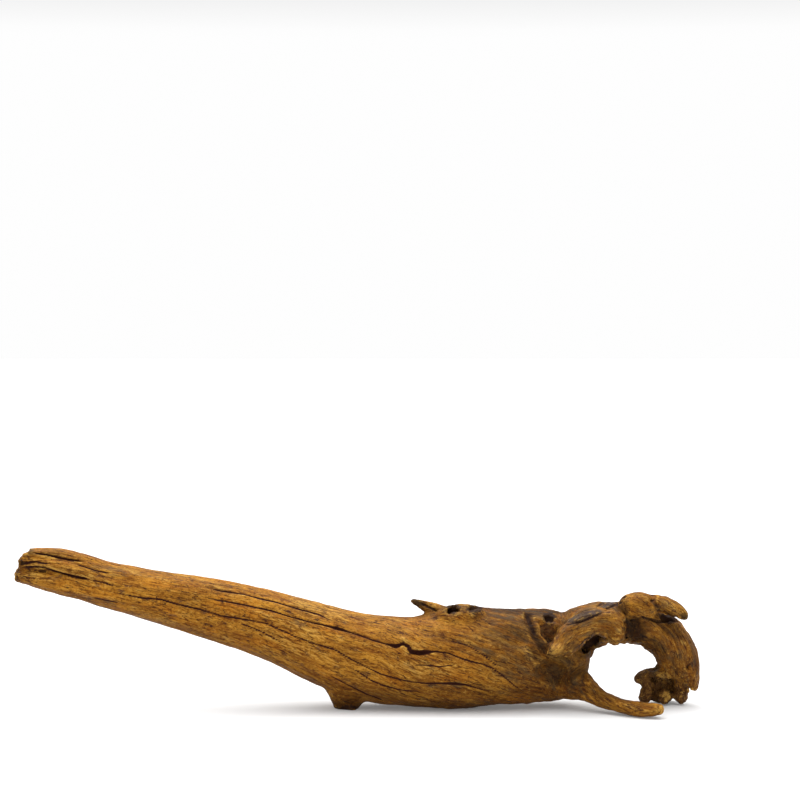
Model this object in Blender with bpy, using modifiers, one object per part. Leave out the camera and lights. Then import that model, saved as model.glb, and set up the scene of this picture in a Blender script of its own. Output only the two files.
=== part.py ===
"""A weathered driftwood log that lies on its foot, belly, prong and root knot.

One grown piece of wood, split at its main forks: trunk, broken stub, upper limb,
lower prong and root knot. Sizes are in millimetres here and in metres in Blender.
X runs along the log, Y from front to back and Z up, with the floor at Z = 0.
"""

import math
from dataclasses import dataclass

import bmesh
import bpy
from mathutils import Matrix, Vector

MM = 0.001

# Driving dimensions
GAP = 0.3  # space between two neighbouring pieces of the split wood
FLOOR_SLAB = (500.0, 200.0, 40.0)  # block that wears the resting places flat
SIDES = 12  # corners of a ring of a coarse cage
SMOOTH_RING = (2.0 + math.cos(2.0 * math.pi / SIDES)) / 3.0  # how far smoothing pulls a ring in
RECESS_TAPER = 0.6  # how much the rotten recess widens upwards and narrows downwards
EDGE_LIMIT = 0.97  # highest share of the trunk's half height where a crack may lie
CENTRE = Vector((-0.95, 4.8, 0.0))  # shift that sets the origin under the middle of the log


@dataclass(frozen=True)
class Ring:
    """One ring of a cage: its centre, and its half sizes up and down and front to back."""

    x: float
    y: float
    z: float
    tall: float
    deep: float

    def centre(self) -> Vector:
        return Vector((self.x, self.y, self.z))


# The trunk, from the split left end to the blunt end where the limbs fork off
TRUNK = (
    Ring(-198.0, -8.0, 81.0, 6.0, 5.0),
    Ring(-194.5, -8.0, 81.8, 10.6, 9.0),
    Ring(-187.0, -7.8, 82.6, 12.2, 11.0),
    Ring(-178.0, -7.3, 81.4, 12.6, 12.0),
    Ring(-166.0, -6.8, 78.3, 13.1, 12.6),
    Ring(-148.0, -6.0, 73.1, 13.3, 13.2),
    Ring(-124.0, -4.0, 67.0, 14.2, 14.0),
    Ring(-101.0, -2.0, 61.5, 16.6, 15.5),
    Ring(-78.0, 0.0, 56.0, 18.3, 17.0),
    Ring(-56.0, 0.0, 50.0, 20.0, 18.5),
    Ring(-34.0, 0.0, 42.3, 22.4, 21.0),
    Ring(-11.0, 0.0, 33.5, 24.8, 24.0),
    Ring(12.5, 0.0, 27.5, 24.5, 25.0),
    Ring(36.0, 0.0, 26.5, 26.2, 26.0),
    Ring(58.0, 0.0, 28.8, 29.8, 27.5),
    Ring(80.0, 1.0, 30.5, 28.3, 27.5),
    Ring(100.5, 3.0, 30.5, 27.0, 25.5),
    Ring(118.0, 6.0, 30.0, 26.0, 22.0),
    Ring(129.0, 7.0, 27.5, 22.5, 18.0),
    Ring(134.5, 8.0, 25.5, 13.0, 10.5),
)

# The foot, a broken stub that carries the log under its middle
FOOT = (
    Ring(4.0, -4.0, 30.0, 15.0, 14.0),
    Ring(-2.5, -5.5, 16.5, 12.5, 13.0),
    Ring(-6.3, -5.5, 6.5, 9.6, 12.0),
    Ring(-6.8, -5.5, -1.5, 8.6, 11.5),
)

# A thin splinter that lifts off the top edge and points back along the log
SPLINTER = (
    Ring(56.0, 3.0, 55.5, 3.0, 3.4),
    Ring(45.5, 4.0, 58.2, 2.4, 2.8),
    Ring(36.5, 5.0, 60.8, 1.7, 2.0),
    Ring(31.0, 5.0, 62.4, 0.6, 0.9),
)

BROKEN_STUB = (
    Ring(111.0, -23.0, 32.4, 2.4, 3.0),
    Ring(115.5, -21.5, 38.2, 6.9, 5.5),
    Ring(123.0, -19.0, 44.4, 8.4, 7.0),
    Ring(132.5, -16.0, 50.2, 8.0, 8.5),
    Ring(142.0, -13.5, 51.8, 8.2, 8.5),
    Ring(149.5, -12.0, 49.2, 7.6, 7.5),
    Ring(153.8, -11.5, 44.8, 4.2, 4.5),
)

UPPER_LIMB = (
    Ring(112.0, 6.0, 42.0, 10.0, 10.0),
    Ring(129.5, 3.5, 46.5, 12.2, 13.0),
    Ring(146.0, 3.0, 50.5, 11.6, 14.0),
    Ring(163.0, 4.0, 49.2, 13.5, 15.0),
    Ring(176.5, 5.0, 43.5, 12.9, 14.5),
    Ring(185.0, 6.0, 34.0, 11.8, 13.0),
    Ring(190.5, 7.0, 24.5, 10.4, 11.5),
    Ring(194.0, 8.5, 15.8, 7.2, 8.5),
    Ring(197.0, 9.5, 9.5, 2.4, 3.5),
)

# The knob, a pointed ridge that stands proud on the front of the upper limb
KNOB = (
    Ring(150.0, -3.0, 56.0, 3.6, 4.0),
    Ring(158.5, -5.5, 60.4, 5.2, 6.0),
    Ring(169.0, -7.0, 60.8, 5.2, 6.0),
    Ring(179.0, -7.5, 60.2, 4.5, 5.5),
    Ring(186.0, -7.5, 57.4, 3.4, 4.5),
    Ring(190.0, -7.5, 54.6, 1.7, 2.5),
)

LOWER_PRONG = (
    Ring(112.0, 1.0, 21.0, 10.0, 11.0),
    Ring(125.0, -4.5, 17.4, 9.9, 10.5),
    Ring(132.5, -9.0, 13.2, 7.6, 9.0),
    Ring(138.5, -13.5, 8.7, 5.0, 7.4),
    Ring(146.0, -19.0, 6.2, 4.3, 6.4),
    Ring(154.5, -25.0, 4.4, 4.1, 6.0),
    Ring(164.0, -31.5, 3.8, 4.1, 6.2),
    Ring(170.2, -35.5, 5.6, 3.2, 5.0),
    Ring(173.2, -37.0, 6.8, 1.7, 3.0),
)


@dataclass(frozen=True)
class Lump:
    """A rounded lump or hollow: its centre, and its half sizes along X, Y and Z."""

    x: float
    y: float
    z: float
    long: float
    deep: float
    tall: float

    def centre(self) -> Vector:
        return Vector((self.x, self.y, self.z))


# The knot: a main lump, then the smaller ones grown on it
ROOT_KNOT = (
    Lump(176.0, 12.5, 14.0, 12.5, 10.0, 10.0),
    Lump(166.0, 10.5, 16.2, 5.8, 5.0, 4.6),
    Lump(171.0, 12.0, 19.6, 4.8, 5.0, 4.6),
    Lump(173.4, 12.0, 23.6, 1.6, 1.8, 2.6),
    Lump(185.5, 12.0, 15.8, 6.0, 7.0, 6.4),
    Lump(183.0, 9.0, 20.5, 6.6, 6.0, 5.0),
    Lump(168.6, 9.0, 6.2, 5.6, 5.5, 5.6),
    Lump(177.0, 14.0, 5.2, 7.6, 8.0, 6.0),
    Lump(187.0, 13.5, 7.2, 6.0, 7.0, 6.8),
)

# Low swellings on the trunk's back and top, where side shoots once grew
SWELLINGS = (
    Lump(-62.0, 10.0, 56.0, 19.0, 11.0, 10.0),
    Lump(62.0, 17.0, 40.0, 17.0, 13.0, 12.0),
    Lump(60.0, -6.0, 50.0, 17.0, 11.0, 10.5),
)

# Hollows: the rotten recess by the stub, the scoop under the stub, and small knot pits
RECESS = Lump(111.5, -18.5, 47.5, 8.4, 11.0, 10.5)
SCOOP = Lump(114.0, -43.5, 24.0, 23.0, 28.0, 17.0)
PITS = (
    Lump(56.0, -12.0, 57.0, 3.2, 3.2, 2.6),
    Lump(67.0, -11.5, 57.2, 3.4, 3.2, 2.6),
    Lump(112.5, -10.0, 51.0, 2.8, 5.0, 2.6),
)


@dataclass(frozen=True)
class Crack:
    """A crack down the front of the trunk: X and Z places along it, its width and its depth."""

    places: tuple[tuple[float, float], ...]
    width: float
    depth: float


@dataclass(frozen=True)
class Split:
    """A deep split at the left end: X, Z and width at each place, its depth and the way it faces."""

    places: tuple[tuple[float, float, float], ...]
    depth: float
    outward: tuple[float, float, float]


# Two deep splits that open the left end into three lobes
SPLITS = (
    Split(
        (
            (-206.0, 81.5, 4.5),
            (-190.0, 82.2, 2.6),
            (-181.0, 81.4, 2.3),
            (-172.0, 79.3, 2.0),
            (-163.0, 77.2, 1.5),
            (-153.0, 75.2, 0.6),
        ),
        19.0,
        (0.0, -1.0, 0.0),
    ),
    Split(
        (
            (-206.0, 90.2, 4.0),
            (-190.0, 90.6, 2.6),
            (-180.0, 89.8, 2.0),
            (-170.0, 88.4, 1.4),
            (-159.0, 86.2, 0.6),
        ),
        13.5,
        (0.0, -0.94, 0.34),
    ),
)

CRACKS = (
    # The long crack from the thin end to the belly, with a jog over the foot
    Crack(
        (
            (-93.5, 69.5),
            (-68.5, 64.5),
            (-48.5, 61.0),
            (-29.0, 55.0),
            (-10.0, 51.0),
            (10.0, 44.0),
            (28.5, 41.5),
            (32.5, 37.5),
            (45.5, 37.5),
            (58.5, 34.0),
            (71.5, 30.5),
            (83.5, 23.5),
            (96.5, 12.0),
        ),
        1.7,
        3.6,
    ),
    # The lower crack, which runs out under the belly
    Crack(
        (
            (-124.5, 67.5),
            (-101.5, 63.0),
            (-78.5, 57.0),
            (-52.0, 53.0),
            (-35.5, 45.5),
            (-12.5, 38.0),
            (6.5, 27.0),
            (24.5, 20.5),
            (52.0, 18.0),
            (70.5, 14.5),
        ),
        1.6,
        3.2,
    ),
)
CRACK_LIFT = 3.0  # how far a crack's or a split's cutter stands out of the wood
SPLIT_FRONT = -20.0  # Y of the front of the wood at the split end
SPLIT_SHALLOWING = 0.7  # share of its depth that a split loses towards its closed end


@dataclass(frozen=True)
class Wood:
    """A plain finish: its colour and roughness."""

    name: str
    colour: tuple[float, float, float]
    roughness: float


OCHRE = Wood("ochre weathered wood", (0.39, 0.205, 0.062), 0.6)
WARM = Wood("orange brown worn wood", (0.30, 0.135, 0.04), 0.5)
DARK = Wood("dark brown root wood", (0.13, 0.065, 0.025), 0.7)


def clear_scene() -> None:
    for item in list(bpy.data.objects):
        bpy.data.objects.remove(item, do_unlink=True)


def new_collection(name: str) -> bpy.types.Collection:
    group = bpy.data.collections.new(name)
    bpy.context.scene.collection.children.link(group)
    return group


def material(wood: Wood) -> bpy.types.Material:
    finish = bpy.data.materials.new(wood.name)
    finish.use_nodes = True
    shader = finish.node_tree.nodes["Principled BSDF"]
    shader.inputs["Base Color"].default_value = (*wood.colour, 1.0)
    shader.inputs["Roughness"].default_value = wood.roughness
    shader.inputs["Metallic"].default_value = 0.0
    return finish


def tangent(rings: tuple[Ring, ...], index: int) -> Vector:
    before = rings[max(index - 1, 0)].centre()
    after = rings[min(index + 1, len(rings) - 1)].centre()
    return (after - before).normalized()


def grown(rings: tuple[Ring, ...], extra: float) -> tuple[Ring, ...]:
    """The same rings, bigger all round and longer at both ends by a little."""
    bigger = []
    for index, ring in enumerate(rings):
        outward = {0: -extra, len(rings) - 1: extra}.get(index, 0.0)
        place = ring.centre() + tangent(rings, index) * outward
        bigger.append(Ring(*place, ring.tall + extra, ring.deep + extra))
    return tuple(bigger)


def ring_corners(ring: Ring, along: Vector) -> list[Vector]:
    """Corners of a ring square to the limb, with its depth along Y."""
    depth_way = (Vector((0.0, 1.0, 0.0)) - along * along.y).normalized()
    tall_way = depth_way.cross(along)
    corners = []
    for side in range(SIDES):
        turn = 2.0 * math.pi * (side + 0.5) / SIDES
        depth = depth_way * (math.cos(turn) * ring.deep / SMOOTH_RING)
        height = tall_way * (math.sin(turn) * ring.tall / SMOOTH_RING)
        corners.append((ring.centre() + depth + height) * MM)
    return corners


def cage(name: str, rings: tuple[Ring, ...], group: bpy.types.Collection) -> bpy.types.Object:
    """A coarse closed cage through the rings, with a Subdivision Surface on it."""
    bm = bmesh.new()
    loops = []
    for index, ring in enumerate(rings):
        loops.append([bm.verts.new(corner) for corner in ring_corners(ring, tangent(rings, index))])
    for near, far in zip(loops, loops[1:]):
        for side in range(SIDES):
            beside = (side + 1) % SIDES
            bm.faces.new((near[side], near[beside], far[beside], far[side]))
    bm.faces.new(loops[0])
    bm.faces.new(loops[-1])
    bmesh.ops.recalc_face_normals(bm, faces=bm.faces)
    limb = add_object(name, bm, group)
    smooth = limb.modifiers.new("Smooth form", "SUBSURF")
    smooth.levels = 1
    smooth.render_levels = 1
    return limb


def add_object(name: str, bm: bmesh.types.BMesh, group: bpy.types.Collection) -> bpy.types.Object:
    mesh = bpy.data.meshes.new(name)
    bm.to_mesh(mesh)
    bm.free()
    item = bpy.data.objects.new(name, mesh)
    item.location = CENTRE * MM
    group.objects.link(item)
    return item


def lump(name: str, shape: Lump, rows: int, group: bpy.types.Collection) -> bpy.types.Object:
    bm = bmesh.new()
    size = Matrix.Diagonal((shape.long * MM, shape.deep * MM, shape.tall * MM, 1.0))
    place = Matrix.Translation(shape.centre() * MM) @ size
    bmesh.ops.create_icosphere(bm, subdivisions=rows, radius=1.0, matrix=place)
    return add_object(name, bm, group)


def tapered_hollow(shape: Lump, group: bpy.types.Collection) -> bpy.types.Object:
    """A V-shaped hollow: a ball that narrows towards its foot."""
    hollow = lump("recess_cutter", shape, 2, group)
    for vert in hollow.data.vertices:
        height = (vert.co.z / MM - shape.z) / shape.tall
        narrowing = 1.0 + RECESS_TAPER * height
        vert.co.x = (shape.x + (vert.co.x / MM - shape.x) * narrowing) * MM
    return hollow


def trunk_front(x: float, z: float) -> tuple[Vector, Vector]:
    """The point on the front of the trunk at X and Z, and the way out of the wood there."""
    index = max(sum(ring.x < x for ring in TRUNK) - 1, 0)
    near, far = TRUNK[index], TRUNK[index + 1]
    part = max(x - near.x, 0.0) / (far.x - near.x)
    middle = near.centre().lerp(far.centre(), part)
    slope = math.hypot(1.0, (far.z - near.z) / (far.x - near.x))
    tall = (near.tall + (far.tall - near.tall) * part) * slope
    deep = near.deep + (far.deep - near.deep) * part
    height = max(-EDGE_LIMIT, min(EDGE_LIMIT, (z - middle.z) / tall))
    depth = math.sqrt(1.0 - height * height)
    outward = Vector((0.0, -depth / deep, height / tall)).normalized()
    return Vector((x, middle.y - deep * depth, z)), outward


def wedge(name: str, loops: list[tuple[Vector, ...]], group: bpy.types.Collection) -> bpy.types.Object:
    """A thin closed blade through rows of three corners."""
    bm = bmesh.new()
    rows = [[bm.verts.new(corner * MM) for corner in loop] for loop in loops]
    for near, far in zip(rows, rows[1:]):
        for side in range(3):
            beside = (side + 1) % 3
            bm.faces.new((near[side], near[beside], far[beside], far[side]))
    bm.faces.new(rows[0])
    bm.faces.new(rows[-1])
    bmesh.ops.recalc_face_normals(bm, faces=bm.faces)
    return add_object(name, bm, group)


def crack_cutter(name: str, crack: Crack, group: bpy.types.Collection) -> bpy.types.Object:
    """A blade along the surface, which narrows towards its ends."""
    points = [trunk_front(x, z) for x, z in crack.places]
    loops = []
    for index, (point, outward) in enumerate(points):
        before = points[max(index - 1, 0)][0]
        after = points[min(index + 1, len(points) - 1)][0]
        across = (after - before).cross(outward).normalized()
        strength = math.sin(math.pi * (index + 0.5) / len(points)) ** 0.5
        rim = point + outward * CRACK_LIFT
        half = across * (crack.width * strength * (CRACK_LIFT + crack.depth) / crack.depth / 2.0)
        root = point - outward * (crack.depth * strength)
        loops.append((rim - half, rim + half, root))
    return wedge(name, loops, group)


def split_cutter(name: str, split: Split, group: bpy.types.Collection) -> bpy.types.Object:
    """A blade square to the front of the end, widest where the end is open."""
    outward = Vector(split.outward)
    across = Vector((1.0, 0.0, 0.0)).cross(outward)
    loops = []
    for index, (x, z, width) in enumerate(split.places):
        shallower = 1.0 - index / len(split.places) * SPLIT_SHALLOWING
        middle = Vector((x, SPLIT_FRONT, z))
        rim = middle + outward * CRACK_LIFT
        half = across * width
        root = middle - outward * (split.depth * shallower)
        loops.append((rim - half, rim + half, root))
    return wedge(name, loops, group)


def floor_slab(group: bpy.types.Collection) -> bpy.types.Object:
    bm = bmesh.new()
    long, deep, thick = (size * MM for size in FLOOR_SLAB)
    place = Matrix.Translation((0.0, 0.0, -thick / 2.0)) @ Matrix.Diagonal((long, deep, thick, 1.0))
    bmesh.ops.create_cube(bm, size=1.0, matrix=place)
    return add_object("floor_cutter", bm, group)


def combine(target: bpy.types.Object, other: bpy.types.Object, operation: str) -> None:
    """A live Boolean with another form, which is then only a guide."""
    step = target.modifiers.new(f"{operation.title()} {other.name}", "BOOLEAN")
    step.operation = operation
    step.solver = "EXACT"
    step.object = other
    other.hide_render = True
    other.display_type = "WIRE"


def build_trunk(wood: bpy.types.Collection, cutters: bpy.types.Collection) -> bpy.types.Object:
    trunk = cage("trunk", TRUNK, wood)
    for index, swelling in enumerate(SWELLINGS):
        combine(trunk, lump(f"swelling_{index + 1}", swelling, 2, cutters), "UNION")
    combine(trunk, cage("foot", FOOT, cutters), "UNION")
    combine(trunk, cage("splinter", SPLINTER, cutters), "UNION")
    combine(trunk, tapered_hollow(RECESS, cutters), "DIFFERENCE")
    combine(trunk, lump("scoop", SCOOP, 3, cutters), "DIFFERENCE")
    for index, split in enumerate(SPLITS):
        combine(trunk, split_cutter(f"split_{index + 1}", split, cutters), "DIFFERENCE")
    for index, crack in enumerate(CRACKS):
        combine(trunk, crack_cutter(f"crack_{index + 1}", crack, cutters), "DIFFERENCE")
    for index, pit in enumerate(PITS):
        combine(trunk, lump(f"pit_{index + 1}", pit, 1, cutters), "DIFFERENCE")
    return trunk


def build_root_knot(wood: bpy.types.Collection, cutters: bpy.types.Collection) -> bpy.types.Object:
    knot = lump("root_knot", ROOT_KNOT[0], 2, wood)
    for index, shape in enumerate(ROOT_KNOT[1:]):
        combine(knot, lump(f"knot_lump_{index + 1}", shape, 2, cutters), "UNION")
    return knot


def main() -> None:
    clear_scene()
    wood = new_collection("driftwood_log")
    cutters = new_collection("cutters")
    floor = floor_slab(cutters)

    trunk = build_trunk(wood, cutters)
    upper_limb = cage("upper_limb", UPPER_LIMB, wood)
    combine(upper_limb, cage("knob", KNOB, cutters), "UNION")
    broken_stub = cage("broken_stub", BROKEN_STUB, wood)
    lower_prong = cage("lower_prong", LOWER_PRONG, wood)
    root_knot = build_root_knot(wood, cutters)

    for piece in (trunk, lower_prong, root_knot):
        combine(piece, floor, "DIFFERENCE")
    around_trunk = cage("trunk_clearance", grown(TRUNK, GAP), cutters)
    for piece in (upper_limb, lower_prong, broken_stub):
        combine(piece, around_trunk, "DIFFERENCE")
    around_limb = cage("limb_clearance", grown(UPPER_LIMB, GAP), cutters)
    for piece in (broken_stub, root_knot):
        combine(piece, around_limb, "DIFFERENCE")

    for piece, finish in (
        (trunk, OCHRE),
        (broken_stub, WARM),
        (upper_limb, WARM),
        (lower_prong, WARM),
        (root_knot, DARK),
    ):
        piece.data.materials.append(material(finish))


main()
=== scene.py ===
"""The looks of a weathered driftwood log, with a split end, a foot, a stub, a limb, a prong and a knot.

The whole log is first modelled as one skin, so that the grain runs on through its forks.
Then the skin is parted at the forks into the five pieces of the log.
Lengths are in millimetres on the bench, and each finished piece is brought to metres.
"""

import itertools
import logging
import math
from dataclasses import dataclass
from enum import Enum
from typing import Union

import bpy
import numpy as np
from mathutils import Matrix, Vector


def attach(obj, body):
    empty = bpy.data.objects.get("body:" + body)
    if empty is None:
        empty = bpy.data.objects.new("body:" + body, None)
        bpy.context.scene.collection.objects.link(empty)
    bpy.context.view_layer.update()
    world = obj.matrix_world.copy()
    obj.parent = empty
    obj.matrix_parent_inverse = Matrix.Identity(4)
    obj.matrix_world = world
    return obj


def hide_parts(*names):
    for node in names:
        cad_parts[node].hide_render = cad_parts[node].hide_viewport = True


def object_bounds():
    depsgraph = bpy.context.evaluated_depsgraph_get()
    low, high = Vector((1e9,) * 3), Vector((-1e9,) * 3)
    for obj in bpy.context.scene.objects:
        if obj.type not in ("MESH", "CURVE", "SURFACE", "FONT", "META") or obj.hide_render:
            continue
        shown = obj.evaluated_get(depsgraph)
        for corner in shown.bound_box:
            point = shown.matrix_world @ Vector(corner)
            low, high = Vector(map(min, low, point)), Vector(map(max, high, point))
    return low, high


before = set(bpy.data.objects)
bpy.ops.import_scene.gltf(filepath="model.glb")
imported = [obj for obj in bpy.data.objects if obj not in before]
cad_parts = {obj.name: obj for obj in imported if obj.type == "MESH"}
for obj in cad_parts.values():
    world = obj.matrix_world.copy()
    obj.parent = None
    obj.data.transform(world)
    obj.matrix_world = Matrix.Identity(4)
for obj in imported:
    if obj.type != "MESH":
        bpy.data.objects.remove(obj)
CAD_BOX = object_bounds()

log = logging.getLogger("driftwood")

MM = 0.001  # metres
CENTRE = np.array((-0.95, 4.8, 0.0))  # from the bench, where the log is drawn, to the row frame


class Node(Enum):
    """The pieces that the log is parted into, as the CAD names them."""

    TRUNK = "trunk"
    BROKEN_STUB = "broken_stub"
    UPPER_LIMB = "upper_limb"
    LOWER_PRONG = "lower_prong"
    ROOT_KNOT = "root_knot"


class Side(Enum):
    """The side of the log that a mark is drawn on."""

    FRONT = "front"
    BACK = "back"


class Mark(Enum):
    """What a painted mark on the wood stands for."""

    CRACK = "crack"
    # dark stains and bark lines, and painted shade in pits, hollows and creases
    STAIN_AND_SHADE = "stain_and_shade"
    BARK = "bark"
    FIBRE = "fibre"
    # paler wear, and painted highlights on top faces and ridges
    PALE_AND_HIGHLIGHT = "pale"
    # grey stains, and painted shade greying the right end
    GREY_AND_SHADE = "grey_and_shade"
    # a darker brown tone, and painted shade on undersides, in creases and on the right end
    UMBER_AND_SHADE = "darkening"
    # painted shade in creases, pits, hollows and behind the stub
    PAINTED_SHADE = "painted_shade"
    ROOT = "root"


SCATTER = np.array((73856093, 19349663, 83492791))  # large primes, so that near cells draw unlike numbers
SEED_STEP = 2654435761  # from the numbers of one seed to those of the next
WORD = 0xFFFFFFFF  # the 32 bits that a cell's number keeps
STIRS = (1274126177, 668265263)  # odd factors that stir a cell's number
HALF_WORD = 0x10000  # how many turns and rises a slope can have


def lattice_noise(points: np.ndarray, seed: int) -> np.ndarray:
    """Smooth gradient noise.

    Args:
        points: places, one row each, in units of the noise's own size.
        seed: chooses one of many patterns.

    Returns:
        A value from about -1 to 1 for each place.
    """
    cell = np.floor(points).astype(np.int64)
    inside = points - cell
    fade = inside**3 * (inside * (inside * 6.0 - 15.0) + 10.0)
    total = np.zeros(len(points))
    for corner in itertools.product((0, 1), repeat=3):
        number = np.bitwise_xor.reduce((cell + corner) * SCATTER, axis=1) ^ seed * SEED_STEP
        number = (number & WORD) * STIRS[0] & WORD
        number = (number ^ number >> 15) * STIRS[1] & WORD
        turn = (number >> 8) % HALF_WORD * (2.0 * math.pi / HALF_WORD)
        rise = (number >> 16) % HALF_WORD * (2.0 / HALF_WORD) - 1.0
        level = np.sqrt(1.0 - rise * rise)
        away = inside - corner
        slope = level * (np.cos(turn) * away[:, 0] + np.sin(turn) * away[:, 1]) + rise * away[:, 2]
        share = np.prod(np.where(np.array(corner) == 1, fade, 1.0 - fade), axis=1)
        total += share * slope
    return total * 1.6  # to reach about 1


def layered_noise(points: np.ndarray, seed: int, layers: int = 3, fall: float = 0.5) -> np.ndarray:
    """Noise with finer noise laid over it.

    Args:
        points: places, one row each.
        seed: chooses the pattern.
        layers: how many sizes are added.
        fall: strength of each layer against the one before.

    Returns:
        A value from about -1 to 1 for each place.
    """
    total = np.zeros(len(points))
    strength = 1.0
    for layer in range(layers):
        total += strength * lattice_noise(points * 2.0**layer, seed + 17 * layer)
        strength *= fall
    return total / (2.0 - 2.0 * fall**layers)


def ramp(values: np.ndarray, start: float, end: float) -> np.ndarray:
    """Rises smoothly from 0 at start to 1 at end, or falls where end is below start.

    Args:
        values: numbers to look up.
        start: where the ramp leaves 0.
        end: where it reaches 1.

    Returns:
        A value from 0 to 1 for each number.
    """
    share = np.clip((values - start) / (end - start), 0.0, 1.0)
    return share * share * (3.0 - 2.0 * share)


def deselect() -> None:
    """Leaves nothing selected."""
    bpy.ops.object.select_all(action="DESELECT")


def select_only(item: bpy.types.Object) -> None:
    """Selects one object and makes it the active one.

    Args:
        item: the object.
    """
    deselect()
    item.select_set(True)
    bpy.context.view_layer.objects.active = item


def straight_stock(name: str, corners: int, sizes: list[tuple[float, float]]) -> bpy.types.Object:
    """Extrudes a circle ring by ring, each ring of its own size and one unit above the last.

    Args:
        name: the stock's name.
        corners: corners of each ring.
        sizes: half sizes of each ring along X and Y.

    Returns:
        The closed stock.
    """
    deselect()
    bpy.ops.mesh.primitive_circle_add(vertices=corners, radius=1.0, fill_type="NGON")
    stock = bpy.context.object
    stock.name = name
    bpy.ops.object.mode_set(mode="EDIT")
    bpy.ops.mesh.select_all(action="SELECT")
    bpy.ops.transform.resize(value=(*sizes[0], 1.0), center_override=(0.0, 0.0, 0.0))
    for index, (near, far) in enumerate(itertools.pairwise(sizes)):
        bpy.ops.mesh.extrude_region_move(TRANSFORM_OT_translate={"value": (0.0, 0.0, 1.0)})
        growth = (far[0] / near[0], far[1] / near[1], 1.0)
        bpy.ops.transform.resize(value=growth, center_override=(0.0, 0.0, index + 1.0))
    bpy.ops.object.mode_set(mode="OBJECT")
    return stock


def turn_outwards() -> None:
    """Turns the faces of the active object outwards."""
    bpy.ops.object.mode_set(mode="EDIT")
    bpy.ops.mesh.select_all(action="SELECT")
    bpy.ops.mesh.normals_make_consistent(inside=False)
    bpy.ops.object.mode_set(mode="OBJECT")


def read_places(mesh: bpy.types.Mesh) -> np.ndarray:
    """Reads the places of a mesh's corners.

    Args:
        mesh: the mesh.

    Returns:
        The places, one row each.
    """
    places = np.empty(len(mesh.vertices) * 3)
    mesh.vertices.foreach_get("co", places)
    return places.reshape(-1, 3)


def write_places(mesh: bpy.types.Mesh, places: np.ndarray) -> None:
    """Moves a mesh's corners to new places."""
    mesh.vertices.foreach_set("co", places.ravel())
    mesh.update()


def apply_modifier(item: bpy.types.Object, modifier: bpy.types.Modifier) -> None:
    """Applies one modifier of an object."""
    bpy.context.view_layer.objects.active = item
    bpy.ops.object.modifier_apply(modifier=modifier.name)


@dataclass(frozen=True)
class Eye:
    """The camera of the photograph, on the bench, in millimetres."""

    frame_pixels: float = 800.0
    lens: float = 100.0
    sensor: float = 36.0
    distance: float = 1288.9
    elevation: float = 2.5
    aim: tuple[float, float, float] = (24.4, 0.0, 179.5)
    clip: tuple[float, float] = (0.01, 50.0)  # metres

    def ahead(self) -> np.ndarray:
        """The way the camera looks."""
        angle = math.radians(self.elevation)
        return np.array((0.0, math.cos(angle), -math.sin(angle)))

    def upward(self) -> np.ndarray:
        """The way that is up in the picture."""
        _, forward, down = self.ahead()
        return np.array((0.0, -down, forward))

    def place(self) -> np.ndarray:
        """Where the camera stands."""
        return np.array(self.aim) - self.ahead() * self.distance

    def focus(self) -> float:
        """How many pixels a thing covers that is as wide as it is far away."""
        return self.lens / self.sensor * self.frame_pixels

    def pixels(self, points: np.ndarray) -> np.ndarray:
        """Pixels of the photograph that points fall on.

        Args:
            points: places on the bench, one row each.

        Returns:
            The column and the row of each, in the 800 by 800 frame.
        """
        away = points - self.place()
        depth = away @ self.ahead()
        middle = self.frame_pixels / 2.0
        column = middle + away[:, 0] / depth * self.focus()
        row = middle - away @ self.upward() / depth * self.focus()
        return np.stack((column, row), axis=1)

    def on_plane(self, pixels: np.ndarray, y: float) -> np.ndarray:
        """Places on an upright plane across the bench that fall on pixels.

        Args:
            pixels: column and row of each place.
            y: where the plane stands.

        Returns:
            The places, one row each.
        """
        away = (pixels - self.frame_pixels / 2.0) / self.focus()
        sight = self.ahead() + away[:, :1] * (1.0, 0.0, 0.0) - away[:, 1:] * self.upward()
        return self.place() + sight * ((y - self.place()[1]) / sight[:, 1:2])

    def build(self) -> None:
        """Adds the camera and makes it the scene's."""
        bpy.ops.object.camera_add(location=(self.place() + CENTRE) * MM)
        camera = bpy.context.object
        camera.name = "photo_camera"
        camera.rotation_euler = (math.radians(90.0 - self.elevation), 0.0, 0.0)
        camera.data.lens = self.lens
        camera.data.sensor_width = self.sensor
        camera.data.clip_start, camera.data.clip_end = self.clip
        bpy.context.scene.camera = camera


@dataclass(frozen=True)
class Ring:
    """One ring of a limb: its centre, and its half sizes up and down and front to back."""

    x: float
    y: float
    z: float
    tall: float
    deep: float

    def centre(self) -> np.ndarray:
        """The ring's centre."""
        return np.array((self.x, self.y, self.z))


SIDES = 12  # corners of a ring of a limb
SMOOTH_RING = (2.0 + math.cos(2.0 * math.pi / SIDES)) / 3.0  # how far smoothing pulls a ring in
SMOOTH_LEVELS = 3


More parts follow.
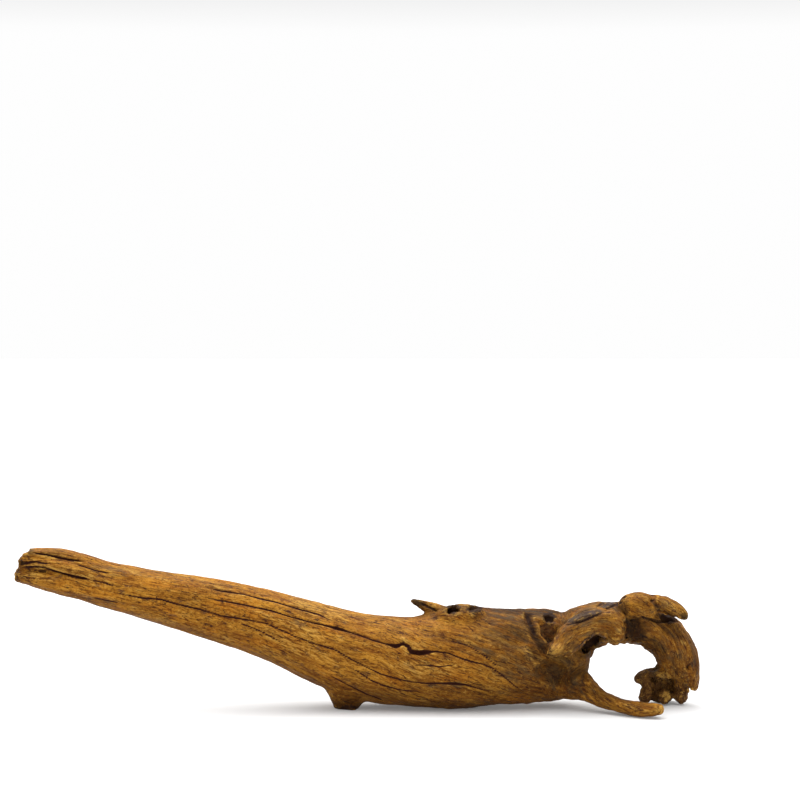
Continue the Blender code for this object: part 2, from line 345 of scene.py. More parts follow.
@dataclass(frozen=True)
class Limb:
    """A round length of wood through rings, and the piece that it belongs to."""

    name: str
    node: Node
    rings: tuple[Ring, ...]

    def along(self, index: int) -> np.ndarray:
        """Finds the way the limb runs at a ring.

        Args:
            index: the ring's number.

        Returns:
            The way, of length 1.
        """
        before = self.rings[max(index - 1, 0)].centre()
        after = self.rings[min(index + 1, len(self.rings) - 1)].centre()
        return (after - before) / np.linalg.norm(after - before)

    def ways(self, index: int) -> tuple[np.ndarray, np.ndarray]:
        """Finds the two ways across the limb at a ring.

        Args:
            index: the ring's number.

        Returns:
            The depth way and the height way.
        """
        along = self.along(index)
        depth_way = np.array((0.0, 1.0, 0.0)) - along * along[1]
        depth_way /= np.linalg.norm(depth_way)
        return depth_way, np.cross(depth_way, along)

    def model(self) -> bpy.types.Object:
        """Extrudes a circle ring by ring into straight stock and bends it onto the limb's line.

        Returns:
            The smooth, closed limb.
        """
        limb = straight_stock(self.name, SIDES, [(ring.deep, ring.tall) for ring in self.rings])
        self.bend(limb.data)
        turn_outwards()
        smooth = limb.modifiers.new("smooth", "SUBSURF")
        smooth.levels = smooth.render_levels = SMOOTH_LEVELS
        apply_modifier(limb, smooth)
        return limb

    def bend(self, mesh: bpy.types.Mesh) -> None:
        """Moves the rings of straight stock to their places on the limb's line.

        Args:
            mesh: the stock's mesh, with a ring at each whole number of Z.
        """
        places = read_places(mesh)
        bent = np.empty_like(places)
        number = np.rint(places[:, 2]).astype(int)
        for index, ring in enumerate(self.rings):
            depth_way, height_way = self.ways(index)
            own = number == index
            flat = places[own, :2] / SMOOTH_RING
            bent[own] = ring.centre() + flat[:, :1] * depth_way + flat[:, 1:] * height_way
        write_places(mesh, bent)


def wood_limb(name: str, node: Node, *rings: tuple[float, float, float, float, float]) -> Limb:
    """A limb from its rings, each as X, Y, Z, half height and half depth."""
    return Limb(name, node, tuple(Ring(*ring) for ring in rings))


@dataclass(frozen=True)
class Lump:
    """A rounded lump or hollow: its centre, and its half sizes along X, Y and Z."""

    name: str
    node: Node
    x: float
    y: float
    z: float
    long: float
    deep: float
    tall: float

    def model(self) -> bpy.types.Object:
        """Adds a ball and stretches it to the lump's half sizes.

        Returns:
            The closed lump.
        """
        deselect()
        place = (self.x, self.y, self.z)
        bpy.ops.mesh.primitive_ico_sphere_add(subdivisions=4, radius=1.0, location=place)
        lump = bpy.context.object
        lump.name = self.name
        lump.scale = (self.long, self.deep, self.tall)
        bpy.ops.object.transform_apply(location=True, rotation=True, scale=True)
        return lump

    def reach(self, places: np.ndarray) -> np.ndarray:
        """How far out of the lump places lie, where 1 is on its surface."""
        away = (places - (self.x, self.y, self.z)) / (self.long, self.deep, self.tall)
        return np.linalg.norm(away, axis=1)


@dataclass(frozen=True)
class Blade:
    """A thin wedge that splits the wood: X, Z and half width at each place, front and way in."""

    name: str
    places: tuple[tuple[float, float, float], ...]
    front: float
    depth: float
    shallowing: float
    outward: tuple[float, float, float]

    def model(self) -> bpy.types.Object:
        """Extrudes a triangle place by place along the split.

        Returns:
            The closed blade.
        """
        blade = straight_stock(self.name, 3, [(1.0, 1.0)] * len(self.places))
        stock = read_places(blade.data)
        number = np.rint(stock[:, 2]).astype(int)
        corner = np.argsort(np.argsort(np.arctan2(stock[:, 1], stock[:, 0]) + number * 10.0)) % 3
        outward = np.array(self.outward)
        across = np.cross((1.0, 0.0, 0.0), outward)
        shaped = np.empty_like(stock)
        for index, (x, z, width) in enumerate(self.places):
            reach = self.depth * (1.0 - index / len(self.places) * self.shallowing)
            middle = np.array((x, self.front, z))
            corners = (middle - across * width, middle + across * width, middle - outward * reach)
            for turn in range(3):
                shaped[(number == index) & (corner == turn)] = corners[turn]
        write_places(blade.data, shaped)
        turn_outwards()
        return blade


POCKET_FRONT = -45.0  # in front of all the wood


@dataclass(frozen=True)
class Pocket:
    """A hollow cut in from the front: its rim on the photograph, how far back it goes, and its taper."""

    name: str
    rim: tuple[tuple[float, float], ...]
    back: float
    taper: float

    def model(self) -> bpy.types.Object:
        """Extrudes the rim from in front of the log to the back of the hollow.

        Returns:
            The closed cutter.
        """
        count = len(self.rim)
        pocket = straight_stock(self.name, count, [(1.0, 1.0)] * 2)
        stock = read_places(pocket.data)
        turn = np.arctan2(stock[:, 1], stock[:, 0])
        corner = np.rint((turn - turn[0]) / (2.0 * math.pi / count)).astype(int) % count
        rim = np.array(self.rim)
        middle = rim.mean(axis=0)
        eye = Eye()
        near = eye.on_plane(rim, POCKET_FRONT)
        far = eye.on_plane(middle + (rim - middle) * self.taper, self.back)
        write_places(pocket.data, np.where(stock[:, 2:] < 0.5, near[corner], far[corner]))
        turn_outwards()
        return pocket


TRUNK = wood_limb(
    "trunk_stock", Node.TRUNK,
    (-180, -7.4, 81, 5, 5), (-174, -7.2, 80.2, 9.6, 9.4), (-163, -6.7, 77.6, 12.4, 12),
    (-148, -6, 73.1, 13.2, 13), (-124, -4, 67, 14.2, 14), (-101, -2, 61.5, 16.6, 15.5),
    (-78, 0, 56, 18.3, 17), (-56, 0, 50, 19.3, 18.5), (-34, 0, 42.4, 21.4, 21), (-11, 0, 33.5, 23.9, 24),
    (12.5, 0, 27.5, 25.6, 25), (36, 0, 26.5, 26.2, 26), (58, 0, 28.8, 29.8, 27.5),
    (80, 1, 30.2, 27.7, 27.5), (100.5, 3, 30.1, 27.4, 25.5), (118, 6, 29.2, 26.8, 22),
    (129, 7, 26.7, 23.3, 18), (134.5, 8, 25.5, 13, 10.5),
)

FOOT = wood_limb(
    "foot", Node.TRUNK,
    (-3, -2, 27, 20.5, 17), (-5.2, -2.6, 14.5, 17.8, 14), (-6.2, -2, 6.5, 11, 9.4),
    (-7.2, -1.2, 1.5, 7.6, 6.8), (-7.2, -0.8, -2.5, 6.8, 6),
)

TOP_LOBE = wood_limb(
    "top_lobe", Node.TRUNK,
    (-140, -5, 80, 4.6, 8), (-158, -6.5, 86, 4.4, 9), (-173, -7, 90.4, 4, 8.6),
    (-183, -7.6, 91.2, 3.7, 8.2), (-192.6, -8.4, 91.4, 3.5, 7.6), (-194.6, -8.6, 91.4, 2.9, 6.2),
)

MIDDLE_LOBE = wood_limb(
    "middle_lobe", Node.TRUNK,
    (-140, -8.5, 76, 6, 9), (-158, -9.5, 81.4, 5.4, 9.2), (-174, -10, 84.6, 4.7, 9),
    (-187, -9.6, 85.8, 4.2, 8.2), (-195.6, -9.4, 85.8, 3.9, 7.4), (-197.8, -9.4, 85.6, 3.1, 6),
)

LOWER_LOBE = wood_limb(
    "lower_lobe", Node.TRUNK,
    (-140, -6.5, 69.3, 9.4, 11), (-160, -7.5, 72.3, 8.5, 11.6), (-175, -8, 74.7, 7.1, 11),
    (-188, -8.2, 77.6, 5.6, 9.4), (-198.2, -8.6, 78.6, 4.5, 7.6), (-201, -8.6, 78.6, 3.4, 5.6),
)

SPLINTER = wood_limb(
    "splinter", Node.TRUNK,
    (58, 2, 53, 4, 5), (49, 2.5, 54.6, 5.2, 4.6), (42.5, 4, 57.4, 4, 3.2), (36.5, 5, 59.9, 2.7, 2.2),
    (32, 5, 61.6, 1.9, 1.6), (30.4, 5, 62, 1.2, 1.2),
)

STUB = wood_limb(
    "stub", Node.BROKEN_STUB,
    (111.2, -28.5, 30.4, 5.2, 5), (114.4, -26.6, 34, 6.8, 5.8), (118.2, -23.6, 39.2, 7.4, 6.4),
    (123, -19, 44.4, 8.4, 7), (132.5, -16, 50.2, 8, 8.5), (142, -13.5, 51.8, 8.2, 8.5),
    (150, -12, 49, 8.4, 8.4), (154, -11.5, 47.6, 7.6, 7.6), (155.6, -11, 46.8, 4, 4.5),
)

ARCH = wood_limb(
    "arch", Node.UPPER_LIMB,
    (112, 6, 42, 10, 10), (129.5, 3.5, 46.5, 12.2, 13), (146, 3, 50.5, 11.6, 14), (163, 4, 49.8, 12.7, 15),
    (177.2, 5, 44.1, 12.5, 14.5), (185.4, 6, 34.6, 13.4, 13), (190.8, 7, 24.7, 12, 11.5),
    (194.8, 8.5, 16.5, 8.8, 8.5), (196.6, 9.5, 11.2, 5.8, 6.4), (197.2, 10, 8, 4, 4.4),
)

BEAK = wood_limb(
    "beak", Node.UPPER_LIMB,
    (160, -6, 60.8, 5.5, 6.5), (169, -7, 62.4, 5, 6), (177.6, -7.8, 62, 4.9, 5.2),
    (184, -8.2, 59.2, 4.4, 4.8), (189, -8.4, 55.8, 3.7, 4), (191.6, -8.4, 53.9, 2.5, 2.8),
)

PRONG = wood_limb(
    "prong", Node.LOWER_PRONG,
    (110, 0, 19, 13, 13), (125, -5.5, 15.6, 11.2, 11), (132.5, -9, 13.2, 7.6, 9),
    (138.5, -13.5, 8.7, 5, 7.4), (146, -19, 6.2, 4.3, 6.4), (154.5, -25, 4.4, 4.1, 6),
    (164, -31.5, 3.8, 4.1, 6.2), (171.4, -36, 5.4, 3.6, 5.2), (174.6, -37.4, 6.2, 2.6, 4.2),
)

ROOT_LUMPS = (
    Lump("root_core", Node.ROOT_KNOT, 179.0, 15.5, 11.0, 9.5, 6.5, 8.0),
    Lump("root_left", Node.ROOT_KNOT, 166.4, 8.5, 16.0, 3.9, 4.2, 4.2),
    Lump("root_shoulder", Node.ROOT_KNOT, 171.2, 8.0, 18.8, 3.8, 4.6, 3.2),
    Lump("root_spur", Node.ROOT_KNOT, 175.8, 9.0, 22.6, 1.1, 1.5, 2.2),
    Lump("root_shelf", Node.ROOT_KNOT, 179.2, 6.0, 18.2, 6.2, 5.6, 3.2),
    Lump("root_neck", Node.ROOT_KNOT, 186.0, 9.0, 21.5, 5.6, 6.0, 5.4),
    Lump("root_toe", Node.ROOT_KNOT, 169.2, 8.5, 5.4, 4.2, 4.4, 4.9),
    Lump("root_wrist", Node.ROOT_KNOT, 170.8, 10.5, 11.4, 3.6, 4.6, 4.2),
    Lump("root_sole", Node.ROOT_KNOT, 180.6, 6.5, 5.2, 3.9, 4.6, 5.0),
    Lump("root_heel", Node.ROOT_KNOT, 189.4, 8.5, 5.6, 4.0, 5.8, 5.2),
    Lump("root_knee", Node.ROOT_KNOT, 188.6, 7.0, 12.6, 3.4, 4.6, 3.2),
    Lump("root_back", Node.ROOT_KNOT, 184.0, 19.0, 8.0, 6.5, 5.5, 7.0),
    Lump("root_base", Node.ROOT_KNOT, 178.0, 15.5, 5.0, 8.0, 5.0, 5.0),
)

SWELLINGS = (
    Lump("foot_toe", Node.TRUNK, -12.6, -1.0, 1.6, 2.2, 4.4, 1.7),
    Lump("foot_nub", Node.TRUNK, -2.8, -7.0, 0.8, 2.6, 4.6, 2.0),
    Lump("top_lobe_end", Node.TRUNK, -186.8, -7.2, 91.2, 4.9, 6.8, 3.1),
    Lump("knob_mass", Node.UPPER_LIMB, 162.5, -8.0, 60.4, 12.0, 8.5, 8.2),
    Lump("rear_bump", Node.UPPER_LIMB, 139.5, 4.5, 38.8, 6.8, 6.5, 4.8),
    Lump("rear_drop", Node.UPPER_LIMB, 133.2, 5.0, 33.0, 5.0, 6.0, 5.4),
    Lump("stub_end", Node.BROKEN_STUB, 149.0, -13.0, 48.0, 6.5, 9.0, 9.5),
    Lump("stub_corner", Node.BROKEN_STUB, 149.6, -13.5, 44.2, 3.6, 5.5, 3.6),
    Lump("stub_roof", Node.BROKEN_STUB, 136.0, -10.0, 52.5, 13.0, 9.0, 7.4),
    Lump("stub_web", Node.UPPER_LIMB, 154.0, -3.4, 47.4, 12.0, 7.8, 9.2),
    Lump("limb_shoulder", Node.UPPER_LIMB, 180.5, 2.0, 46.6, 8.6, 9.0, 7.6),
    Lump("shoot_scar", Node.TRUNK, -62.0, 10.0, 56.0, 19.0, 11.0, 10.0),
    Lump("back_swelling", Node.TRUNK, 62.0, 17.0, 40.0, 17.0, 13.0, 12.0),
    Lump("top_swelling", Node.TRUNK, 60.0, -6.0, 50.6, 17.0, 11.0, 11.0),
)

HOLLOWS = (
    Lump("scoop", Node.TRUNK, 116.5, -42.0, 21.5, 22.0, 29.0, 17.5),
)

SPLITS = (
    Blade(
        "lower_split",
        (
            (-206, 82.2, 0.9), (-190, 82.4, 0.9), (-181, 81.4, 1.1),
            (-172, 79.5, 1.0), (-163, 77.6, 0.8), (-153, 75.6, 0.5),
        ),
        front=-23.0, depth=22.0, shallowing=0.7, outward=(0.0, -1.0, 0.0),
    ),
    Blade(
        "upper_split",
        ((-206, 89.4, 1.7), (-190, 89.2, 1.2), (-180, 89.0, 0.9), (-170, 87.6, 0.8), (-159, 85.6, 0.5)),
        front=-23.0, depth=16.5, shallowing=0.7, outward=(0.0, -0.94, 0.34),
    ),
)

POCKETS = (
    Pocket(
        "top_lobe_break",
        ((2, 534), (28, 534), (26, 545), (28, 549), (26.5, 552.5), (21, 553.5), (17.5, 556.5), (2, 558)),
        back=14.0, taper=1.0,
    ),
    Pocket(
        "recess",
        ((530, 611), (547, 612), (568, 622), (562, 634), (554, 648), (548, 650), (540, 636)),
        back=-10.0, taper=0.62,
    ),
    Pocket("recess_pit", ((542, 615), (549, 614), (557, 617), (556, 624), (545, 625)), back=-5.0, taper=0.7),
    Pocket(
        "cave",
        ((579, 650), (586, 640), (598, 631.5), (605, 635.5), (600, 643), (589, 653.5), (583, 656)),
        back=1.0, taper=0.8,
    ),
    Pocket(
        "beak_hollow",
        ((656, 617), (662, 613.5), (670, 613), (677, 618), (678, 621), (674, 623), (665, 623)),
        back=-3.0, taper=0.7,
    ),
    Pocket(
        "stub_break",
        (
            (627.5, 618), (623.5, 622), (626, 629), (625, 636),
            (627, 641), (623, 648), (641, 648), (641, 622),
        ),
        back=-12.5, taper=1.0,
    ),
    Pocket(
        "root_cavity",
        ((650, 685), (657, 682.5), (666, 683.5), (668, 689), (659, 692), (651, 690)),
        back=9.0, taper=0.7,
    ),
    Pocket("root_slot", ((651.5, 692), (658, 692), (658.5, 704), (652, 704)), back=11.0, taper=0.7),
    Pocket(
        "limb_tip_break",
        (
            (688, 683.5), (696, 692), (700, 691), (702, 687), (706, 684),
            (714, 684), (714, 702), (691, 702), (690.5, 692),
        ),
        back=30.0, taper=1.0,
    ),
    Pocket(
        "left_top_pit",
        (
            (444.5, 615), (446, 609), (450, 607), (451.5, 602), (459, 602),
            (458, 607.5), (462.5, 609.5), (460, 615.5), (454, 613.5), (450, 618),
        ),
        back=-2.0, taper=0.75,
    ),
    Pocket(
        "right_top_pit",
        (
            (466, 611.5), (467, 607), (471.5, 602.5), (481, 602.5),
            (486.5, 607.5), (483, 612), (477.5, 610), (473, 615),
        ),
        back=-3.0, taper=0.75,
    ),
)

LIMBS = (TRUNK, FOOT, TOP_LOBE, MIDDLE_LOBE, LOWER_LOBE, SPLINTER, STUB, ARCH, BEAK, PRONG)


@dataclass(frozen=True)
class Trace:
    """A crack or a crease in the wood: its way, half width and depth, and where it is wider.

    On the front its way is drawn in pixels of the photograph, on the back in X and Z on the bench.
    Each pair of swells is a place along X of the drawing and how many times wider it is there.
    """

    name: str
    way: tuple[tuple[float, float], ...]
    width: float
    depth: float
    swells: tuple[tuple[float, float], ...] = ((0.0, 1.0),)
    mark: Mark = Mark.CRACK
    side: Side = Side.FRONT


CRACKS = (
    Trace(
        "first_split",
        ((20.4, 568.7), (33, 568), (41.5, 568.7), (61, 573.6), (75, 577.1), (90.6, 579.9)),
        0.7, 2.0,
    ),
    Trace("second_split", ((31.7, 551.8), (35.9, 552.5), (61, 558.2), (82, 561)), 0.6, 1.8),
    Trace("end_check", ((75, 563.8), (95, 570), (109, 573)), 0.25, 0.6),
    Trace("lobe_check", ((22, 563), (34, 561.5), (48, 563.5)), 0.3, 0.7),
    Trace("third_split", ((90.6, 579.9), (104, 583), (113, 586)), 0.25, 0.6),
    Trace(
        "upper_crack",
        (
            (205.6, 587.6), (220, 590.7), (243, 594.1), (260, 598.7),
            (277, 602.1), (295, 607.3), (318, 613.6), (334, 621),
        ),
        0.3, 0.8,
    ),
    Trace(
        "long_crack",
        (
            (194, 595.3), (220, 600.4), (237, 603.3), (254, 606.7), (272, 610.2), (289, 615.9), (306, 620.5),
            (323, 624.5), (340.5, 628.5), (358, 634.3), (375, 640.6), (387, 643.8), (396, 646.1), (403, 643.4),
            (408, 646.0), (411, 651.2), (420, 652.6), (437, 651.4), (449, 653.1), (460, 657.7), (472, 661.7),
            (483, 664), (492.5, 668), (504, 676), (515.5, 686), (527, 694.5), (538, 700.8),
        ),
        0.3, 0.9,
        (
            (194, 1.1), (322, 1.1), (338, 3.4), (352, 1.2), (386, 1.2), (396, 4.6), (404, 1.6), (412, 6.0),
            (424, 4.4), (434, 1.4), (500, 0.9), (538, 0.6),
        ),
    ),
    Trace(
        "lower_crack",
        (
            (95, 588.3), (117, 593.2), (140, 598.1), (159, 599.5), (180, 605.2), (201, 610.1), (220, 615.9),
            (243, 619.4), (266, 623.4), (277, 628.5), (295, 636.6), (312, 642.9), (335, 649.8), (352, 660.1),
            (369, 668.7), (381, 674.5), (400, 680.2), (409, 681.8), (426, 683.6), (449, 683.6), (466, 685.3),
            (481, 689.9), (495, 695), (507, 700.8),
        ),
        0.22, 0.75,
        ((95, 1.6), (180, 1.7), (240, 1.3), (430, 1.1), (452, 3.0), (470, 1.6), (507, 0.7)),
    ),
    Trace("belly_check", ((380, 685.3), (403, 691), (420, 692.2)), 0.2, 0.5),
    Trace("middle_check", ((414, 665.2), (427, 665.2), (440, 666.9), (456, 664.5)), 0.2, 0.4),
    Trace("foot_crack", ((330, 675.3), (345, 684.1), (363.5, 693.4), (385, 702)), 0.24, 0.7),
    Trace("under_crack", ((92, 597.5), (104, 600), (117, 602.5)), 0.3, 0.6),
    Trace("arm_check", ((236, 622), (262, 632), (281, 643)), 0.18, 0.4),
    Trace("tail_check", ((352, 668), (372, 681), (392, 689)), 0.18, 0.4),
    Trace("sweep_line", ((449, 640), (468, 645), (484, 655), (500, 668)), 0.18, 0.4),
    # the crease, its floor, the stub's edge, the beak's underside, the splinter's gap and the knob's valley are
    # darkened with painted shade; the bark lines are dark bark
    Trace("crease", ((526, 610), (531, 622), (537, 636), (543, 647), (549, 658)), 3.2, 1.9, mark=Mark.UMBER_AND_SHADE),
    Trace("crease_floor", ((527, 611), (531, 620), (537, 634)), 0.9, 0.6, mark=Mark.STAIN_AND_SHADE),
    Trace("bark_edge", ((564, 626), (578, 623), (592, 618), (605, 613)), 0.3, 0.6, mark=Mark.STAIN_AND_SHADE),
    Trace("stub_edge", ((624, 610), (628, 620), (629, 632), (627, 641)), 0.8, 0.5, mark=Mark.UMBER_AND_SHADE),
    Trace(
        "beak_shade", ((640, 617), (650, 619), (660, 621), (672, 620), (681, 622)), 0.9, 1.2, mark=Mark.STAIN_AND_SHADE
    ),
    Trace("splinter_gap", ((421, 602.5), (429, 607), (438, 611.5)), 0.6, 1.4, mark=Mark.STAIN_AND_SHADE),
    Trace("knob_valley", ((653, 597), (656, 603), (660, 609), (661, 614)), 1.3, 0.9, mark=Mark.UMBER_AND_SHADE),
    Trace("bark_line", ((597, 607), (608, 601), (620, 598), (629, 595.5)), 0.6, 0.9, mark=Mark.STAIN_AND_SHADE),
    Trace("bark_sliver", ((605, 611), (614, 606), (623, 601)), 0.6, 0.9, mark=Mark.STAIN_AND_SHADE),
    Trace(
        "back_long",
        ((-150, 78), (-110, 68), (-70, 58), (-45, 51), (-20, 46), (2, 45)),
        0.4, 1.4, side=Side.BACK,
    ),
    Trace("back_high", ((-120, 72), (-85, 66), (-45, 57), (-12, 49)), 0.3, 0.9, side=Side.BACK),
    Trace("back_low", ((-60, 44), (-42, 38), (-25, 33), (-8, 29)), 0.3, 1.0, side=Side.BACK),
    Trace("back_end", ((-197, 82), (-180, 81), (-160, 77), (-140, 73)), 0.7, 1.8, side=Side.BACK),
    Trace("back_top_end", ((-190, 88), (-172, 87), (-158, 84)), 0.5, 1.4, side=Side.BACK),
    Trace(
        "back_limb",
        ((140, 49), (150, 51.5), (161, 51), (172, 46.5), (180, 40), (186, 31)),
        0.25, 0.9, side=Side.BACK,
    ),
    Trace("back_fork", ((112, 38), (104, 27), (97, 15)), 0.3, 1.0, side=Side.BACK),
)


class Skin:
    """The one skin of the whole log, as arrays that carving can work on."""

    def __init__(self, item: bpy.types.Object) -> None:
        """Reads the skin from a mesh object.

        Args:
            item: the closed mesh, all of four-sided faces.
        """
        mesh = item.data
        self.item = item
        self.places = read_places(mesh)
        self.edges = np.empty(len(mesh.edges) * 2, np.int64)
        mesh.edges.foreach_get("vertices", self.edges)
        self.edges = self.edges.reshape(-1, 2)
        self.faces = np.empty(len(mesh.loops), np.int64)
        mesh.loops.foreach_get("vertex_index", self.faces)
        self.faces = self.faces.reshape(-1, 4)
        count = len(self.places)
        self.neighbours = np.bincount(self.edges.ravel(), minlength=count).astype(float)
        self.marks = {mark: np.zeros(count) for mark in Mark}

    def spread(self, values: np.ndarray, rounds: int, pull: float | np.ndarray = 1.0) -> np.ndarray:
        """Evens values out over neighbouring corners.

        Args:
            values: one value or one row for each corner.
            rounds: how many times to average.
            pull: how far each corner goes to its neighbours' average, from 0 to 1.

        Returns:
            The evened values.
        """
        columns = values.reshape(len(self.places), -1).copy()
        pull = np.broadcast_to(np.asarray(pull, float), len(columns))
        one, other = self.edges.T
        for _ in range(rounds):
            for column in columns.T:
                total = np.bincount(one, column[other], len(column))
                total = total + np.bincount(other, column[one], len(column))
                column += pull * (total / self.neighbours - column)
        return columns.reshape(values.shape)

    def normals(self) -> np.ndarray:
        """Works out the way out of the wood.

        Returns:
            The way at each corner, of length 1.
        """
        corners = self.places[self.faces]
        face_normals = np.cross(corners[:, 2] - corners[:, 0], corners[:, 3] - corners[:, 1])
        total = np.zeros_like(self.places)
        for side in range(4):
            for axis in range(3):
                total[:, axis] += np.bincount(self.faces[:, side], face_normals[:, axis], len(total))
        return total / np.maximum(np.linalg.norm(total, axis=1, keepdims=True), 1e-9)

    def write(self) -> None:
        """Puts the places back on the mesh."""
        write_places(self.item.data, self.places)


def stretch_table() -> tuple[np.ndarray, np.ndarray]:
    """Lays out how the log is squeezed along its length.

    Returns:
        Places along the log, and where they go.
    """
    x = np.arange(-230.0, 231.0, 1.0)
    share = 0.32 + 0.14 * ramp(x, -30.0, 10.0) + 0.4 * ramp(x, 85.0, 105.0)  # arm, body and forks
    return x, np.cumsum(share)


def stretch(x: np.ndarray) -> np.ndarray:
    """Squeezes lengths along the log before meshing, so that its cells lie long along the grain."""
    return np.interp(x, *stretch_table())


def unstretch(squeezed: np.ndarray) -> np.ndarray:
    """Undoes stretch."""
    x, places = stretch_table()
    return np.interp(squeezed, places, x)


COARSE_CELL = 0.9  # for joining the forms
FINE_CELL = 0.575  # small enough for the cracks, and under 200,000 triangles a piece


def remesh(item: bpy.types.Object, cell: float) -> None:
    """Replaces a mesh by one of even cells over its outside.

    Args:
        item: the object.
        cell: size of a cell.
    """
    step = item.modifiers.new("remesh", "REMESH")
    step.mode = "VOXEL"
    step.voxel_size = cell
    step.adaptivity = 0.0
    apply_modifier(item, step)


def join(items: list[bpy.types.Object], name: str) -> bpy.types.Object:
    """Makes several objects one.

    Args:
        items: the objects.
        name: the new object's name.

    Returns:
        The joined object.
    """
    deselect()
    for item in items:
        item.select_set(True)
    bpy.context.view_layer.objects.active = items[0]
    bpy.ops.object.join()
    items[0].name = name
    return items[0]


def cut(item: bpy.types.Object, cutter: bpy.types.Object) -> None:
    """Takes a cutter's shape out of an object and removes the cutter.

    Args:
        item: the object.
        cutter: the closed shape to take out.
    """
    step = item.modifiers.new("cut", "BOOLEAN")
    step.operation = "DIFFERENCE"
    step.solver = "MANIFOLD"
    step.object = cutter
    apply_modifier(item, step)
    bpy.data.objects.remove(cutter)


def model_skin() -> Skin:
    """Models the log's forms, joins them, cuts the hollows and splits, and meshes the outside.

    Returns:
        The skin of the whole log.
    """
    forms = [limb.model() for limb in LIMBS] + [lump.model() for lump in ROOT_LUMPS + SWELLINGS]
    item = join(forms, "log_skin")
    remesh(item, COARSE_CELL)
    union = Skin(item)
    union.places = union.spread(union.places, rounds=4, pull=0.5)
    union.write()
    for shape in HOLLOWS + SPLITS + POCKETS:
        cut(item, shape.model())
    places = read_places(item.data)
    places[:, 0] = stretch(places[:, 0])
    write_places(item.data, places)
    remesh(item, FINE_CELL)
    skin = Skin(item)
    skin.places[:, 0] = unstretch(skin.places[:, 0])
    skin.places = skin.spread(skin.places, rounds=3, pull=0.5)
    return skin


def lengths_along(line: np.ndarray) -> np.ndarray:
    """The length along a broken line at each of its corners."""
    return np.concatenate(((0.0,), np.cumsum(np.linalg.norm(np.diff(line, axis=0), axis=1))))


BLOCK = 8192  # how many corners are measured at a time


@dataclass(frozen=True)
class GrainLine:
    """A line that the grain follows from the split end, through a fork, to the tip of a limb."""

    node: Node
    rings: tuple[Ring, ...]
    step: float = 1.5

    def follow(self, places: np.ndarray) -> tuple[np.ndarray, np.ndarray]:
        """Measures places along and round the line.

        Args:
            places: places on the bench, one row each.

        Returns:
            Length along the line, depth and height from it for each place, and how far out of the
            wood each place lies, where 1 is on the surface.
        """
        line, ways_deep, ways_tall, sizes = self.stations()
        length = lengths_along(line)
        nearest = np.empty(len(places), np.int64)
        for start in range(0, len(places), BLOCK):
            block = places[start : start + BLOCK]
            nearest[start : start + BLOCK] = np.argmin((line**2).sum(axis=1) - 2.0 * block @ line.T, axis=1)
        away = places - line[nearest]
        along = np.gradient(line, axis=0)
        along /= np.linalg.norm(along, axis=1, keepdims=True)
        forward = (away * along[nearest]).sum(axis=1)
        deep = (away * ways_deep[nearest]).sum(axis=1)
        tall = (away * ways_tall[nearest]).sum(axis=1)
        size = sizes[nearest]
        shares = (deep / size[:, 0]) ** 2 + (tall / size[:, 1]) ** 2 + (forward / size.mean(axis=1)) ** 2
        return np.stack((length[nearest] + forward, deep, tall), axis=1), np.sqrt(shares)

    def stations(self) -> tuple[np.ndarray, np.ndarray, np.ndarray, np.ndarray]:
        """Spaces points closely along the line.

        Returns:
            The points, and the depth way, the height way and the half sizes at each.
        """
        path = Limb("line", self.node, self.rings)
        knots = np.array([ring.centre() for ring in self.rings])
        lengths = lengths_along(knots)
        marks = np.arange(0.0, lengths[-1], self.step)

        def between(rows: np.ndarray) -> np.ndarray:
            """Fills in rows given at the rings for every point."""
            return np.stack([np.interp(marks, lengths, column) for column in rows.T], axis=1)

        line = between(knots)
        for _ in range(4):
            line[1:-1] += 0.5 * ((line[2:] + line[:-2]) / 2.0 - line[1:-1])
        ways = np.array([path.ways(index) for index in range(len(self.rings))])
        deep, tall = between(ways[:, 0]), between(ways[:, 1])
        deep /= np.linalg.norm(deep, axis=1, keepdims=True)
        tall /= np.linalg.norm(tall, axis=1, keepdims=True)
        sizes = between(np.array([(ring.deep, ring.tall) for ring in self.rings]))
        return line, deep, tall, sizes


FORK_RING = 13  # the last ring of the trunk that all the grain lines share
GRAIN_LINES = (
    GrainLine(Node.TRUNK, TRUNK.rings),
    GrainLine(Node.BROKEN_STUB, TRUNK.rings[:FORK_RING] + STUB.rings[1:]),
    GrainLine(Node.UPPER_LIMB, TRUNK.rings[:FORK_RING] + ARCH.rings[1:]),
    GrainLine(Node.LOWER_PRONG, TRUNK.rings[:FORK_RING] + PRONG.rings[1:]),
)
TWIST_START = 200.0  # length along the grain where it starts to wind round the log
TWIST_RATE = -0.017  # how fast it winds, in radians a millimetre


def wind(grain: np.ndarray) -> np.ndarray:
    """Turns the grain round the log where the wood has grown with a twist.

    Args:
        grain: length, depth and height along a grain line.

    Returns:
        The same places, with depth and height turned.
    """
    turned = grain.copy()
    angle = np.maximum(grain[:, 0] - TWIST_START, 0.0) * TWIST_RATE
    turned[:, 1] = grain[:, 1] * np.cos(angle) + grain[:, 2] * np.sin(angle)
    turned[:, 2] = grain[:, 2] * np.cos(angle) - grain[:, 1] * np.sin(angle)
    return turned


